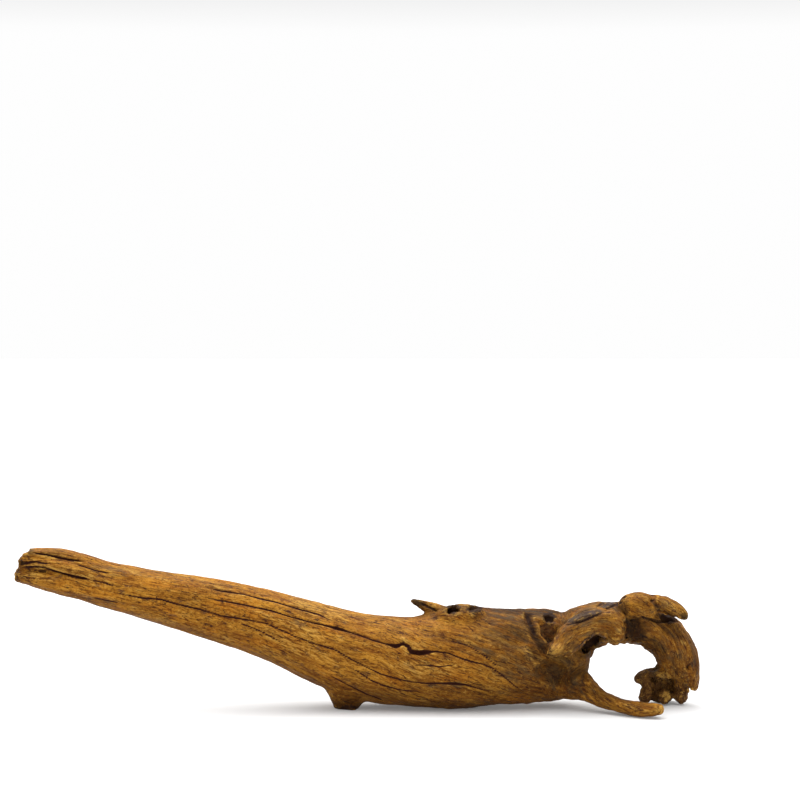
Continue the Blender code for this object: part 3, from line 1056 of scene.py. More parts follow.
class LogMap:
    """Where each corner of the skin lies: its piece, and its place in the grain."""

    def __init__(self, skin: Skin) -> None:
        """Works out the pieces and the grain of a skin.

        Args:
            skin: the smooth skin, before it is carved.
        """
        reaches = {}
        grains = {}
        for line in GRAIN_LINES:
            grains[line.node] = wind(line.follow(skin.places)[0])
            own = [limb for limb in LIMBS if limb.node == line.node]
            lines = [GrainLine(line.node, limb.rings) for limb in own]
            reaches[line.node] = np.min([other.follow(skin.places)[1] for other in lines], axis=0)
        reaches[Node.ROOT_KNOT] = np.min([lump.reach(skin.places) for lump in ROOT_LUMPS], axis=0)
        for lump in SWELLINGS:
            reaches[lump.node] = np.minimum(reaches[lump.node], lump.reach(skin.places))
        nodes = list(Node)
        shares = np.zeros((len(skin.places), len(nodes)))
        nearest = np.argmin([reaches[node] for node in nodes], axis=0)
        shares[np.arange(len(skin.places)), nearest] = 1.0
        shares = skin.spread(shares, rounds=24, pull=0.7)  # evens the line between the pieces
        self.node = np.argmax(shares, axis=1)
        shares = skin.spread(shares, rounds=60, pull=0.7)  # blends their grain at the forks
        self.shares = dict(zip(nodes, shares.T))
        grains[Node.ROOT_KNOT] = grains[Node.UPPER_LIMB]
        self.grain = sum(self.shares[node][:, None] * grains[node] for node in nodes)


@dataclass(frozen=True)
class Oval:
    """An oval drawn on a side of the log: its middle, its half sizes and its turn.

    On the front it is drawn in pixels of the photograph, on the back in millimetres on the bench.
    """

    column: float
    row: float
    wide: float
    high: float
    turn: float = 0.0
    side: Side = Side.FRONT


@dataclass(frozen=True)
class Dent:
    """A hollow, or a boss where its depth is below zero."""

    name: str
    oval: Oval
    depth: float
    flat: float = 2.0


@dataclass(frozen=True)
class Patch:
    """A patch of one mark, such as a stain, wear, painted shade or a painted highlight."""

    mark: Mark
    oval: Oval
    strength: float
    ragged: float = 0.5


PIXEL_SIZE = 0.58  # millimetres of the log that one pixel covers
SNAP = 0.5  # corners closer to a crack than this share of a cell are drawn onto it
SEEN_FRONT = 0.02  # how far a corner has to face the camera to be drawn on
SEEN_BACK = 0.1  # and how far it has to face backwards
CRACK_REACH = 7.0  # how far from its way a crack is worked out
STEEPEST = -0.35  # the steepest slope that a corner is slid along
UNSEEN = 9.0  # how far from an oval a corner counts that its side doesn't show
PATCH_EDGE = (1.2, 0.5)  # where a patch starts and where it is full, with its rim at 1
TAPER_SHARE = 0.12  # share of a crack's length that each end tapers over
TAPER_LEAST = 0.25  # how wide and deep its very ends are
GROOVE_EDGE = 0.35  # how much further than its half width a crack is open
DARK_EDGE = 0.4  # and how much further it is dark
SHOULDER_WIDTH = 2.2  # how far its worn shoulders reach
SHOULDER_DEPTH = 0.22  # how deep they are, as a share of its depth


@dataclass(frozen=True)
class Sight:
    """A side of the log laid flat: where each corner falls in millimetres, and which corners face it."""

    flat: np.ndarray
    facing: np.ndarray
    seen: np.ndarray
    across: np.ndarray
    down: np.ndarray
    ahead: np.ndarray
    unit: float


class Carver:
    """Carves the weathered surface into the skin, and paints where the wood changes colour and where shade and
    highlights are painted on.
    """

    def __init__(self, skin: Skin, where: LogMap, eye: Eye) -> None:
        """Gets ready to carve.

        Args:
            skin: the smooth skin.
            where: its pieces and grain.
            eye: the camera that the traces were drawn through.
        """
        self.skin = skin
        self.where = where
        self.out = skin.normals()
        away = eye.place() - skin.places
        facing = (self.out * away).sum(axis=1) / np.linalg.norm(away, axis=1)
        flat = eye.pixels(skin.places) * PIXEL_SIZE
        across = np.array((1.0, 0.0, 0.0))
        self.sights = {
            Side.FRONT: Sight(
                flat, facing, facing > SEEN_FRONT, across, -eye.upward(), eye.ahead(), PIXEL_SIZE
            ),
            Side.BACK: Sight(
                skin.places[:, (0, 2)], self.out[:, 1], self.out[:, 1] > SEEN_BACK, across,
                np.array((0.0, 0.0, 1.0)), np.array((0.0, -1.0, 0.0)), 1.0,
            ),
        }
        self.relief = np.zeros(len(skin.places))
        self.ragged = 0.5 * self.grain_noise(8.0, 3.0, 41) + 0.7 * self.even_noise(4.5, 42)  # edges of patches
        self.wander = self.grain_noise(9.0, 4.0, 31, 1)  # widths of cracks

    def grain_noise(self, along: float, across: float, seed: int, layers: int = 2) -> np.ndarray:
        """Noise drawn out along the grain.

        Args:
            along: its size along the grain, in millimetres.
            across: its size across the grain.
            seed: chooses the pattern.
            layers: how many sizes are added.

        Returns:
            A value from about -1 to 1 for each corner.
        """
        return layered_noise(self.where.grain / (along, across, across), seed, layers)

    def even_noise(self, size: float, seed: int, layers: int = 2) -> np.ndarray:
        """Noise of one size in every direction."""
        return layered_noise(self.skin.places / size, seed, layers)

    def mark(self, mark: Mark, strength: np.ndarray) -> None:
        """Lays a mark over what is there, where it is stronger."""
        self.skin.marks[mark] = np.maximum(self.skin.marks[mark], np.clip(strength, 0.0, 1.0))

    def weather(self) -> None:
        """Raises the grain in ridges, and roughens the broken end and the root."""
        x = self.skin.places[:, 0]
        body = ramp(x, 20.0, 70.0)
        end = ramp(x, -120.0, -165.0)
        root = self.where.shares[Node.ROOT_KNOT]
        # ridges along the grain, broad to fine, stronger at the split end
        self.relief += 0.75 * self.grain_noise(60.0, 13.0, 11)
        self.relief += (0.42 + 0.35 * end - 0.1 * body) * self.grain_noise(36.0, 4.2, 12)
        self.relief += (0.2 + 0.15 * end) * self.grain_noise(15.0, 1.7, 13)
        # lumps, stronger on the body and on the limbs
        lumpy = (0.2 + 0.36 * body) * self.even_noise(5.0, 14)
        self.relief += lumpy + (0.3 + 0.5 * body) * self.even_noise(15.0, 19)
        limb = self.where.shares[Node.UPPER_LIMB] + self.where.shares[Node.BROKEN_STUB]
        self.relief += 0.7 * limb * self.even_noise(8.0, 23)
        # crumbled wood under the limbs and on the root, where deep creases part the lumps
        under = limb * ramp(self.out[:, 2], -0.1, -0.7)
        self.relief += under * (1.3 * self.even_noise(3.4, 20) - 0.4 * np.abs(self.even_noise(2.2, 24)))
        self.relief += 1.3 * root * self.even_noise(5.0, 15, 3) - 1.8 * root * np.abs(self.even_noise(3.8, 16))
        # darker brown towards the body, and painted shade on the underside
        self.mark(Mark.UMBER_AND_SHADE, 0.24 * ramp(x, -40.0, 30.0))
        self.mark(Mark.UMBER_AND_SHADE, 0.6 * ramp(self.out[:, 2], -0.25, -0.9))
        # the broken face of the split end
        tip = ramp(x, -186.0, -197.0)
        self.relief += tip * (0.9 * self.even_noise(2.6, 17) - 0.4)
        self.mark(Mark.UMBER_AND_SHADE, 0.9 * tip * ramp(self.even_noise(4.0, 18), -0.5, 0.3))

    def crack(self, trace: Trace) -> None:
        """Cuts one crack, with worn shoulders and a dark bottom, along corners drawn onto its way.

        Args:
            trace: the crack.
        """
        sight = self.sights[trace.side]
        way = np.array(trace.way) * sight.unit
        low = way.min(axis=0) - CRACK_REACH
        high = way.max(axis=0) + CRACK_REACH
        inside = ((sight.flat > low) & (sight.flat < high)).all(axis=1)
        near = np.flatnonzero(sight.seen & inside)
        gap, share, foot = distance_to(sight.flat[near], way)
        ends = ramp(share, 0.0, TAPER_SHARE) * ramp(share, 1.0, 1.0 - TAPER_SHARE)
        taper = ends * (1.0 - TAPER_LEAST) + TAPER_LEAST
        swell = np.interp(sight.flat[near, 0] / sight.unit, *np.array(trace.swells).T)
        width = trace.width * taper * swell * (1.0 + 0.5 * self.wander[near])
        if trace.mark is Mark.CRACK:
            drawn = gap < SNAP * FINE_CELL * sight.facing[near]
            self.draw_over(near[drawn], (foot - sight.flat[near])[drawn], sight)
            gap = np.where(drawn, 0.0, gap)
        depth = trace.depth * taper * np.sqrt(swell)
        groove = ramp(gap, width + GROOVE_EDGE, 0.0)
        shoulder = np.exp(-((gap / (SHOULDER_WIDTH + width)) ** 2))
        self.relief[near] -= depth * (groove + SHOULDER_DEPTH * shoulder)
        strength = np.zeros(len(self.relief))
        strength[near] = ramp(gap, width + DARK_EDGE, width * 0.6) * (0.25 + 0.75 * taper)
        self.mark(trace.mark, strength)

    def draw_over(self, corners: np.ndarray, move: np.ndarray, sight: Sight) -> None:
        """Slides corners over the surface, so that they land on a crack's way.

        Args:
            corners: which corners.
            move: how far each goes on the flat drawing.
            sight: the side that the drawing is made from.
        """
        out = self.out[corners]
        slide = move[:, :1] * sight.across + move[:, 1:] * sight.down
        rise = (slide * out).sum(axis=1)
        steep = np.minimum((out * sight.ahead).sum(axis=1), STEEPEST)
        self.skin.places[corners] += slide - (rise / steep)[:, None] * sight.ahead

    def far(self, oval: Oval) -> np.ndarray:
        """Measures how far from the middle of an oval each corner lies.

        Args:
            oval: the oval.

        Returns:
            The distance, where the rim is 1.
        """
        sight = self.sights[oval.side]
        turn = math.radians(oval.turn)
        away = sight.flat / sight.unit - (oval.column, oval.row)
        along = away[:, 0] * math.cos(turn) + away[:, 1] * math.sin(turn)
        beside = away[:, 1] * math.cos(turn) - away[:, 0] * math.sin(turn)
        return np.where(sight.seen, np.hypot(along / oval.wide, beside / oval.high), UNSEEN)

    def dent(self, dent: Dent) -> None:
        """Presses one hollow in, or raises one boss."""
        self.relief -= dent.depth * np.clip(1.0 - self.far(dent.oval) ** dent.flat, 0.0, 1.0) ** 1.5

    def paint(self, patch: Patch) -> None:
        """Paints one patch with a ragged edge."""
        far = self.far(patch.oval) + patch.ragged * self.ragged
        self.mark(patch.mark, patch.strength * ramp(far, *PATCH_EDGE))

    def finish(self) -> None:
        """Moves the skin by the relief, and darkens its hollows and lightens its proud edges."""
        rough = self.skin.marks[Mark.FIBRE] + 0.5 * self.skin.marks[Mark.BARK] + self.skin.marks[Mark.STAIN_AND_SHADE]
        self.relief += 0.7 * rough * self.even_noise(2.4, 21)
        self.skin.places += self.out * self.relief[:, None]
        self.skin.places = self.skin.spread(self.skin.places, rounds=1, pull=0.35)
        out = self.skin.normals()
        keep = 1.0 - 0.6 * self.where.shares[Node.ROOT_KNOT]
        # darker in the hollows and paler on the proud edges, at a fine and a broad size
        for rounds, size, strength in ((10, 0.35, 0.9), (60, 1.1, 0.7)):
            even = self.skin.spread(self.skin.places, rounds, pull=0.7)
            proud = ((self.skin.places - even) * out).sum(axis=1)
            self.mark(Mark.PALE_AND_HIGHLIGHT, keep * strength * ramp(proud, 0.25 * size, 1.3 * size))
            self.mark(Mark.STAIN_AND_SHADE, keep * strength * ramp(proud, -0.3 * size, -1.4 * size))


def distance_to(points: np.ndarray, line: np.ndarray) -> tuple[np.ndarray, np.ndarray, np.ndarray]:
    """Distance from points to a broken line, and the nearest place on it.

    Args:
        points: flat places, one row each.
        line: the line's corners.

    Returns:
        The distance, the share of the line's length, and the nearest place, for each point.
    """
    lengths = np.linalg.norm(np.diff(line, axis=0), axis=1)
    starts = lengths_along(line)
    best = np.full(len(points), np.inf)
    share = np.zeros(len(points))
    foot = np.zeros_like(points)
    for index, length in enumerate(lengths):
        run = line[index + 1] - line[index]
        part = np.clip(((points - line[index]) @ run) / length**2, 0.0, 1.0)
        place = line[index] + part[:, None] * run
        gap = np.linalg.norm(points - place, axis=1)
        nearer = gap < best
        foot[nearer] = place[nearer]
        best[nearer] = gap[nearer]
        share[nearer] = (starts[index] + part[nearer] * length) / starts[-1]
    return best, share, foot


DENTS = (
    Dent("limb_hole", Oval(690, 668, 2.4, 3.4), 2.0),
    Dent("body_hollow", Oval(512, 640, 20, 14, 30), 1.6),
    Dent("shaded_hollow", Oval(557, 674, 22, 13, 53), 2.0),
    Dent("sweep_ridge", Oval(529, 656, 5, 16, -35), -1.6),
    Dent("crack_lip", Oval(404, 640, 8, 3.5, 15), -1.5),
    Dent("crack_mouth", Oval(417, 654, 10, 4), 1.0),
    Dent("lip_shadow", Oval(410, 662, 7, 9), 0.7),
    Dent("left_collar", Oval(452, 612, 11, 10), -0.8),
    Dent("right_collar", Oval(475, 611, 12, 9), -0.8),
    Dent("bark_plate", Oval(586, 616.5, 21, 3.6, -15), -0.8, 8.0),
    Dent("lobe_nose", Oval(556, 651, 8, 9, -30), -1.2),
    Dent("lobe_flank", Oval(602, 625, 14, 7, -20), 1.0),
    Dent("knob_saddle", Oval(654, 597, 5, 7, 20), 1.4),
    Dent("beak_ridge", Oval(672, 606, 12, 3.5, 35), -0.8),
    Dent("limb_flat", Oval(655, 640, 14, 10, 45), 1.2),
    Dent("arm_scar", Oval(293, 622, 9, 4, 18), 0.4),
    Dent("foot_rim", Oval(343, 704, 12, 3), 0.8),
    Dent("back_knot", Oval(-62, 55, 9, 6, -15, Side.BACK), 1.6),
    Dent("back_hollow", Oval(84, 24, 15, 9, -20, Side.BACK), 1.8),
    Dent("back_eye", Oval(62, 41, 5, 4, 0, Side.BACK), 2.0),
)


def patches(mark: Mark, *rows: tuple[float, ...], side: Side = Side.FRONT) -> tuple[Patch, ...]:
    """Patches of one kind on one side, each as column, row, wide, high, turn, strength and ragged."""
    return tuple(Patch(mark, Oval(*row[:5], side), *row[5:]) for row in rows)


PATCHES = (
    # a darker brown tone, and painted shade on the right end, under the belly, behind the stub and along the
    # top
    *patches(
        Mark.UMBER_AND_SHADE,
        (600, 645, 70, 55, 0, 0.5, 0.25), (672, 657, 38, 36, 0, 0.62, 0.25),
        (650, 630, 14, 15, 0, 0.5, 0.25), (550, 680, 50, 26, 12, 0.85), (622, 706, 44, 12, 8, 0.55),
        (31, 552, 3, 5, 0, 0.9), (50, 552, 12, 4, 8, 0.45), (62, 571, 30, 3.5, 14, 0.35),
        (20, 562, 3, 7, 0, 0.4), (16, 575, 3, 6, 0, 0.4), (345, 700, 30, 12, 0, 0.8),
        (470, 706, 110, 9, 0, 0.7), (530, 615, 50, 11, 3, 0.75), (522, 655, 34, 26, 45, 0.5),
        (690, 675, 14, 30, 0, 0.75), (424, 604, 18, 6, 25, 0.8),
    ),
    # painted shade: behind the stub, in the creases, pits and hollows, under the belly and the foot, and
    # between the lobes of the split end
    *patches(
        Mark.PAINTED_SHADE,
        (637, 630, 13, 16, -22, 1, 0.3), (623, 607, 9, 10, -20, 0.65, 0.4), (550, 617, 8, 6, 0, 0.8, 0.3),
        (453, 610, 8, 6, 0, 0.75, 0.5), (475, 609, 8, 5, 0, 0.7, 0.5), (345, 706, 24, 8, 0, 0.5, 0.4),
        (530, 609, 60, 7, 2, 0.62, 0.4), (470, 708, 130, 7, 0, 0.35, 0.3), (620, 652, 60, 7, 5, 0.5, 0.4),
        (647, 643, 26, 8, 28, 0.75), (671, 617, 11, 5, 14, 0.9, 0.3), (566, 672, 30, 15, 40, 0.5, 0.6),
        (538, 638, 5, 20, -28, 0.8), (545, 625, 30, 14, 10, 0.25), (480, 690, 50, 9, 0, 0.3),
        (505, 640, 26, 12, 50, 0.35), (500, 626, 40, 15, 10, 0.42), (537, 652, 8, 15, -20, 0.6),
        (572, 630, 12, 8, -40, 0.3), (405, 690, 34, 9, 0, 0.28), (522, 629, 16, 13, 0, 0.6),
        (499, 668, 22, 10, 10, 0.28), (548, 670, 14, 10, 0, 0.25), (448, 611, 44, 8, -4, 0.5),
        (674, 631, 15, 9, 35, 0.6), (491, 656, 8, 6, 20, 0.45, 0.4), (545, 645, 12, 10, 0, 0.25),
        (645, 606, 13, 8, 0, 0.2), (396, 629, 14, 8, 0, 0.18), (562, 668, 16, 5, 10, 0.5, 0.6),
        (594, 650, 9, 12, 30, 0.55), (590, 652, 16, 7, -42, 0.5), (598, 641, 9, 6, -40, 0.85, 0.3),
        (655, 653, 15, 5, 48, 0.6), (697, 655, 4, 26, -12, 0.45), (590, 690, 46, 6, 14, 0.45),
        (418, 604, 10, 4.5, 38, 0.75, 0.15), (685.5, 617, 4.5, 5, 30, 0.95, 0.2),
        (18, 561, 2.6, 8, 0, 0.6, 0.25), (13.5, 575, 2.6, 8, 0, 0.6, 0.25), (28, 550, 3, 6, 0, 0.75, 0.25),
    ),
    # paler patches of wear, and painted highlights on the nose, the beak's ridge and the top of the root
    *patches(
        Mark.PALE_AND_HIGHLIGHT,
        (320, 609, 44, 9, 14, 0.5, 0.3), (300, 648, 48, 9, 22, 0.42, 0.3), (296, 629, 42, 8, 22, 0.4, 0.3),
        (425, 668, 44, 9, 5, 0.45, 0.3), (45, 556, 20, 3.2, 10, 0.5, 0.3), (40, 577, 18, 4, 12, 0.5, 0.3),
        (33, 564.5, 10, 2.5, 5, 0.4, 0.3), (672, 605, 14, 6, 25, 0.35, 0.3),
        (590, 628, 14, 6, -30, 0.35, 0.3), (560, 650, 8, 9, -40, 0.5), (554, 657, 5, 5, 0, 0.4, 0.3),
        (685, 643, 4.5, 2, 40, 1, 0.2), (529, 654, 5, 10, -30, 0.5), (668, 696, 5, 6, 0, 1, 0.3),
        (666, 675, 10, 3, 12, 1, 0.2),
    ),
    # grey stains, and painted shade greying the right end and the limb
    *patches(
        Mark.GREY_AND_SHADE,
        (418, 603, 9, 5, 30, 0.9), (512, 634, 34, 10, 45, 0.35), (500, 616, 30, 7, 8, 0.3),
        (491, 655, 9, 7, 30, 0.45), (448, 685, 22, 3.5, 0, 0.7), (560, 642, 112, 62, 0, 0.46, 0.3),
        (665, 640, 46, 60, 0, 0.4, 0.3), (293, 620, 9, 5, 20, 0.35), (108, 570, 26, 6, 15, 0.45),
        (105, 601, 16, 5, 15, 0.45),
    ),
    # painted shade that blackens the pits, the beak's hollow, the cave and the foot's bottom
    *patches(
        Mark.STAIN_AND_SHADE,
        (550, 617, 8, 6, 0, 1), (453, 610.5, 8.5, 6.5, -20, 1, 0.7), (475.5, 609, 9, 5.5, 0, 1, 0.7),
        (670, 619, 12, 4.5, 12, 1), (591, 642, 12, 6, -35, 1, 0.2), (346, 709, 17, 4, 0, 0.8),
    ),
    *patches(
        Mark.FIBRE,
        (550, 632, 11, 15, 0, 0.9),
    ),
    *patches(
        Mark.BARK,
        (585, 617, 22, 4.2, -17, 1, 0.2), (612, 603, 15, 3.6, -26, 0.9, 0.3),
    ),
    *patches(
        Mark.GREY_AND_SHADE,
        (20, 40, 46, 12, -12, 0.6),
        side=Side.BACK,
    ),
    # a darker brown tone on the back, and painted shade along its bottom
    *patches(
        Mark.UMBER_AND_SHADE,
        (110, 24, 40, 26, 0, 0.7), (185, 30, 26, 34, 0, 0.6), (20, 6, 90, 10, 0, 0.7),
        side=Side.BACK,
    ),
    # painted shade in the back's knot and eye
    *patches(
        Mark.STAIN_AND_SHADE,
        (-62, 55, 6, 3.5, -15, 0.9), (62, 41, 4, 3, 0, 1),
        side=Side.BACK,
    ),
)


Colour = tuple[float, float, float]
Socket = bpy.types.NodeSocket
Feed = Union[Socket, float, tuple]


class NodeBench:
    """Adds and joins the nodes of one material, and lays its colour on in coats."""

    def __init__(self, tree: bpy.types.NodeTree) -> None:
        """Takes over a new material's tree.

        Args:
            tree: the tree, with only its shader and its output.
        """
        self.tree = tree
        self.shader = tree.nodes["Principled BSDF"]
        self.colour: Feed = (0.0, 0.0, 0.0)

    def feed(self, source: Feed, target: Socket) -> None:
        """Feeds an input.

        Args:
            source: the socket to link to it, or its value.
            target: the input.
        """
        if isinstance(source, Socket):
            self.tree.links.new(source, target)
        else:
            target.default_value = source

    def add(self, kind: str, feeds: dict[Union[str, int], Feed], **settings: object) -> bpy.types.Node:
        """Adds a node.

        Args:
            kind: its type, without the words ShaderNode.
            feeds: what goes into each input, by its name or number.
            settings: the node's own settings.

        Returns:
            The node.
        """
        node = self.tree.nodes.new("ShaderNode" + kind)
        for name, setting in settings.items():
            setattr(node, name, setting)
        for name, source in feeds.items():
            self.feed(source, node.inputs[name])
        return node

    def attribute(self, name: str, output: str = "Fac") -> Socket:
        """Reads an attribute of the mesh."""
        return self.add("Attribute", {}, attribute_name=name).outputs[output]

    def noise(self, at: Socket, along: float, across: float, detail: float, roughness: float) -> Socket:
        """Adds noise from 0 to 1.

        Args:
            at: the places.
            along: its size along the first axis.
            across: its size on the two others.
            detail: how many finer sizes are laid over it.
            roughness: how strong those are.

        Returns:
            The noise.
        """
        scale = (1.0 / along, 1.0 / across, 1.0 / across)
        scaled = self.add("VectorMath", {0: at, 1: scale}, operation="MULTIPLY").outputs[0]
        feeds = {"Vector": scaled, "Scale": 1.0, "Detail": detail, "Roughness": roughness}
        return self.add("TexNoise", feeds).outputs["Fac"]

    def ramp(self, value: Socket, start: float, end: float) -> Socket:
        """Rises smoothly from 0 at start to 1 at end."""
        return self.spread(value, 0.0, 1.0, start, end, "SMOOTHSTEP")

    def spread(
        self, value: Socket, low: float, high: float, start: float = 0.3, end: float = 0.7, kind: str = "LINEAR"
    ) -> Socket:
        """Takes a value from one range, start to end, to another, low to high."""
        feeds = {"Value": value, "From Min": start, "From Max": end, "To Min": low, "To Max": high}
        return self.add("MapRange", feeds, interpolation_type=kind).outputs["Result"]

    def maths(self, operation: str, one: Feed, other: Feed, held: bool = True) -> Socket:
        """One sum of two values, held between 0 and 1 if asked."""
        return self.add("Math", {0: one, 1: other}, operation=operation, use_clamp=held).outputs[0]

    def times(self, value: Socket, factor: float) -> Socket:
        """A value times a number."""
        return self.maths("MULTIPLY", value, factor)

    def halfway(self, one: Socket, other: Socket, share: float) -> Socket:
        """Two values mixed."""
        return self.add("Mix", {"Factor": share, 2: one, 3: other}, data_type="FLOAT").outputs[0]

    def broken(self, mark: Mark, noise: Socket, amount: float) -> Socket:
        """Reads a mark's strength, with its edges broken up by noise.

        Args:
            mark: the mark.
            noise: the noise.
            amount: how far the edges are broken up.

        Returns:
            The strength, from 0 to 1.
        """
        strength = self.attribute(mark.value)
        rough = self.spread(noise, -amount / 2.0, amount / 2.0)
        edge = self.ramp(self.maths("ADD", strength, rough, False), 0.2, 0.8)
        return self.maths("MULTIPLY", edge, self.ramp(strength, 0.0, 0.25))

    def band(self, value: Socket, middle: float, width: float) -> Socket:
        """1 where a value is at the middle, and 0 from the width away."""
        return self.add("Math", {0: value, 1: middle, 2: width}, operation="COMPARE").outputs[0]

    def mix(self, share: Socket, one: Feed, other: Feed, kind: str = "MIX") -> Socket:
        """Mixes a colour into another, or multiplies it by one.

        Args:
            share: how much of the other colour.
            one: the first colour.
            other: the other colour.
            kind: how they are put together.

        Returns:
            The new colour.
        """
        under, over = ((*feed, 1.0) if isinstance(feed, tuple) else feed for feed in (one, other))
        node = self.add("Mix", {}, data_type="RGBA", blend_type=kind)
        for source, name in ((share, "Factor"), (under, 6), (over, 7)):
            self.feed(source, node.inputs[name])
        return node.outputs[2]

    def coat(self, share: Socket, tint: Colour, amount: float = 1.0, kind: str = "MIX") -> None:
        """Lays a coat over the colour so far.

        Args:
            share: where it lies, from 0 to 1.
            tint: its colour.
            amount: how strong it is.
            kind: how it is laid on.
        """
        strength = share if amount == 1.0 else self.times(share, amount)
        self.colour = self.mix(strength, self.colour, tint, kind)

    def bump(self, height: Socket, strength: float, distance: float) -> Socket:
        """A fine unevenness of the surface."""
        feeds = {"Strength": strength, "Distance": distance, "Height": height}
        return self.add("Bump", feeds).outputs["Normal"]


@dataclass(frozen=True)
class WoodFinish:
    """Weathered wood: its colours, and how dull it is."""

    name: str
    slot: str
    light: Colour = (0.42, 0.19, 0.02)
    middle: Colour = (0.28, 0.113, 0.011)
    orange: Colour = (0.45, 0.17, 0.012)
    darkening: Colour = (0.45, 0.41, 0.45)
    rust: Colour = (0.2, 0.062, 0.004)
    # specks and dark stains, and painted shade in pits and hollows
    dark: Colour = (0.014, 0.005, 0.003)
    crack: Colour = (0.028, 0.007, 0.004)
    # pale wear and flecks, and painted highlights
    pale: Colour = (0.55, 0.31, 0.06)
    # grey stains, and painted shade
    grey_and_shade: Colour = (0.1, 0.064, 0.026)
    plum: Colour = (0.08, 0.04, 0.025)
    bark: Colour = (0.06, 0.038, 0.032)
    fibre: Colour = (0.12, 0.035, 0.01)
    root: Colour = (0.09, 0.041, 0.014)
    # tints a darker brown tone and painted shade
    shade: Colour = (0.36, 0.3, 0.3)
    # tints painted shade
    painted_shade: Colour = (0.18, 0.17, 0.21)
    streaks: Colour = (0.4, 0.3, 0.26)
    shine: float = 0.06
    roughness: tuple[float, float] = (0.46, 0.7)
    bump: float = 0.8
    bump_height: float = 0.0008  # metres

    def build(self) -> bpy.types.Material:
        """Makes the material.

        Returns:
            The finished material.
        """
        wood = bpy.data.materials.new(self.name)
        wood.use_nodes = True
        tree = NodeBench(wood.node_tree)
        grain = tree.attribute("grain", "Vector")
        place = tree.attribute("place", "Vector")
        broad = tree.noise(grain, 42.0, 5.0, 3.0, 0.55)
        tone = tree.noise(grain, 26.0, 11.0, 3.0, 0.55)
        patch = tree.noise(grain, 13.0, 4.5, 4.0, 0.6)
        blot = tree.noise(grain, 8.0, 3.6, 3.0, 0.6)
        streak = tree.noise(grain, 11.0, 1.2, 5.0, 0.7)
        fibre = tree.noise(grain, 3.4, 0.6, 3.0, 0.65)
        grit = tree.noise(place, 2.1, 1.5, 4.0, 0.72)
        lines = tree.noise(grain, 24.0, 2.6, 2.0, 0.5)
        hairs = tree.noise(grain, 11.0, 1.5, 1.0, 0.5)
        speck = tree.noise(place, 1.1, 1.1, 3.0, 0.6)
        tree.colour = tree.mix(tree.ramp(broad, 0.36, 0.64), self.middle, self.light)
        tree.coat(tree.ramp(tone, 0.52, 0.66), self.orange, 0.55)
        tree.coat(tree.ramp(tone, 0.48, 0.34), self.darkening, 0.45, "MULTIPLY")
        tree.coat(tree.ramp(patch, 0.48, 0.66), self.rust, 0.6)
        tree.coat(tree.ramp(patch, 0.44, 0.3), self.pale, 0.5)
        tree.coat(tree.ramp(blot, 0.59, 0.7), self.plum, 0.6)
        tree.coat(tree.broken(Mark.ROOT, blot, 0.9), self.root, 0.85)
        tree.coat(tree.broken(Mark.FIBRE, blot, 0.9), self.fibre, 0.85)
        # a darker brown tone, and painted shade
        tree.coat(tree.attribute(Mark.UMBER_AND_SHADE.value), self.shade, kind="MULTIPLY")
        tree.coat(tree.broken(Mark.BARK, speck, 0.5), self.bark)
        # paler wear, and painted highlights
        tree.coat(tree.broken(Mark.PALE_AND_HIGHLIGHT, streak, 0.9), self.pale, 0.6)
        tree.coat(tree.ramp(streak, 0.52, 0.36), self.streaks, 0.9, "MULTIPLY")
        tree.coat(tree.ramp(fibre, 0.5, 0.34), self.streaks, 0.8, "MULTIPLY")
        tree.coat(tree.ramp(grit, 0.46, 0.36), self.streaks, 0.7, "MULTIPLY")
        tree.coat(tree.ramp(grit, 0.58, 0.7), self.pale, 0.5)
        tree.coat(tree.ramp(fibre, 0.58, 0.72), self.pale, 0.35)
        # grey stains, and painted shade that greys the colour
        tree.coat(tree.broken(Mark.GREY_AND_SHADE, blot, 0.7), self.grey_and_shade, 0.6)
        thin = tree.maths("MULTIPLY", tree.band(lines, 0.5, 0.012), tree.ramp(blot, 0.44, 0.52))
        hair = tree.maths("MULTIPLY", tree.band(hairs, 0.47, 0.016), tree.ramp(patch, 0.56, 0.46))
        tree.coat(thin, self.crack, 0.8)
        tree.coat(hair, self.crack, 0.7)
        tree.coat(tree.ramp(speck, 0.63, 0.72), self.dark, 0.7)
        tree.coat(tree.ramp(speck, 0.3, 0.24), self.pale, 0.6)
        # painted shade
        tree.coat(tree.attribute(Mark.PAINTED_SHADE.value), self.painted_shade, kind="MULTIPLY")
        # dark stains, and painted shade in pits and hollows
        tree.coat(tree.broken(Mark.STAIN_AND_SHADE, speck, 0.8), self.dark, 0.85)
        tree.coat(tree.ramp(tree.attribute(Mark.CRACK.value), 0.3, 0.62), self.crack)
        height = tree.halfway(tree.halfway(streak, fibre, 0.5), grit, 0.45)
        height = tree.maths("SUBTRACT", height, tree.times(thin, 0.6))
        inputs = tree.shader.inputs
        tree.feed(self.shine, inputs["Specular IOR Level"])
        tree.feed(tree.colour, inputs["Base Color"])
        tree.feed(tree.spread(streak, *self.roughness), inputs["Roughness"])
        tree.feed(tree.bump(height, self.bump, self.bump_height), inputs["Normal"])
        return wood


@dataclass(frozen=True)
class LogPiece:
    """One piece of the log, and the wood that it is finished in."""

    node: Node
    finish: WoodFinish

    def dress(self, piece: bpy.types.Object) -> None:
        """Gives the piece its wood, hangs it on the root body and hides the CAD part that it stands for.

        Args:
            piece: the parted piece of the skin.
        """
        wood = bpy.data.materials.get(self.finish.name) or self.finish.build()
        piece.data.materials.clear()
        piece.data.materials.append(wood)
        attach(piece, "root")
        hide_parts(self.node.value)
        triangles = sum(len(face.vertices) - 2 for face in piece.data.polygons)
        log.info("%s: %d triangles", piece.name, triangles)


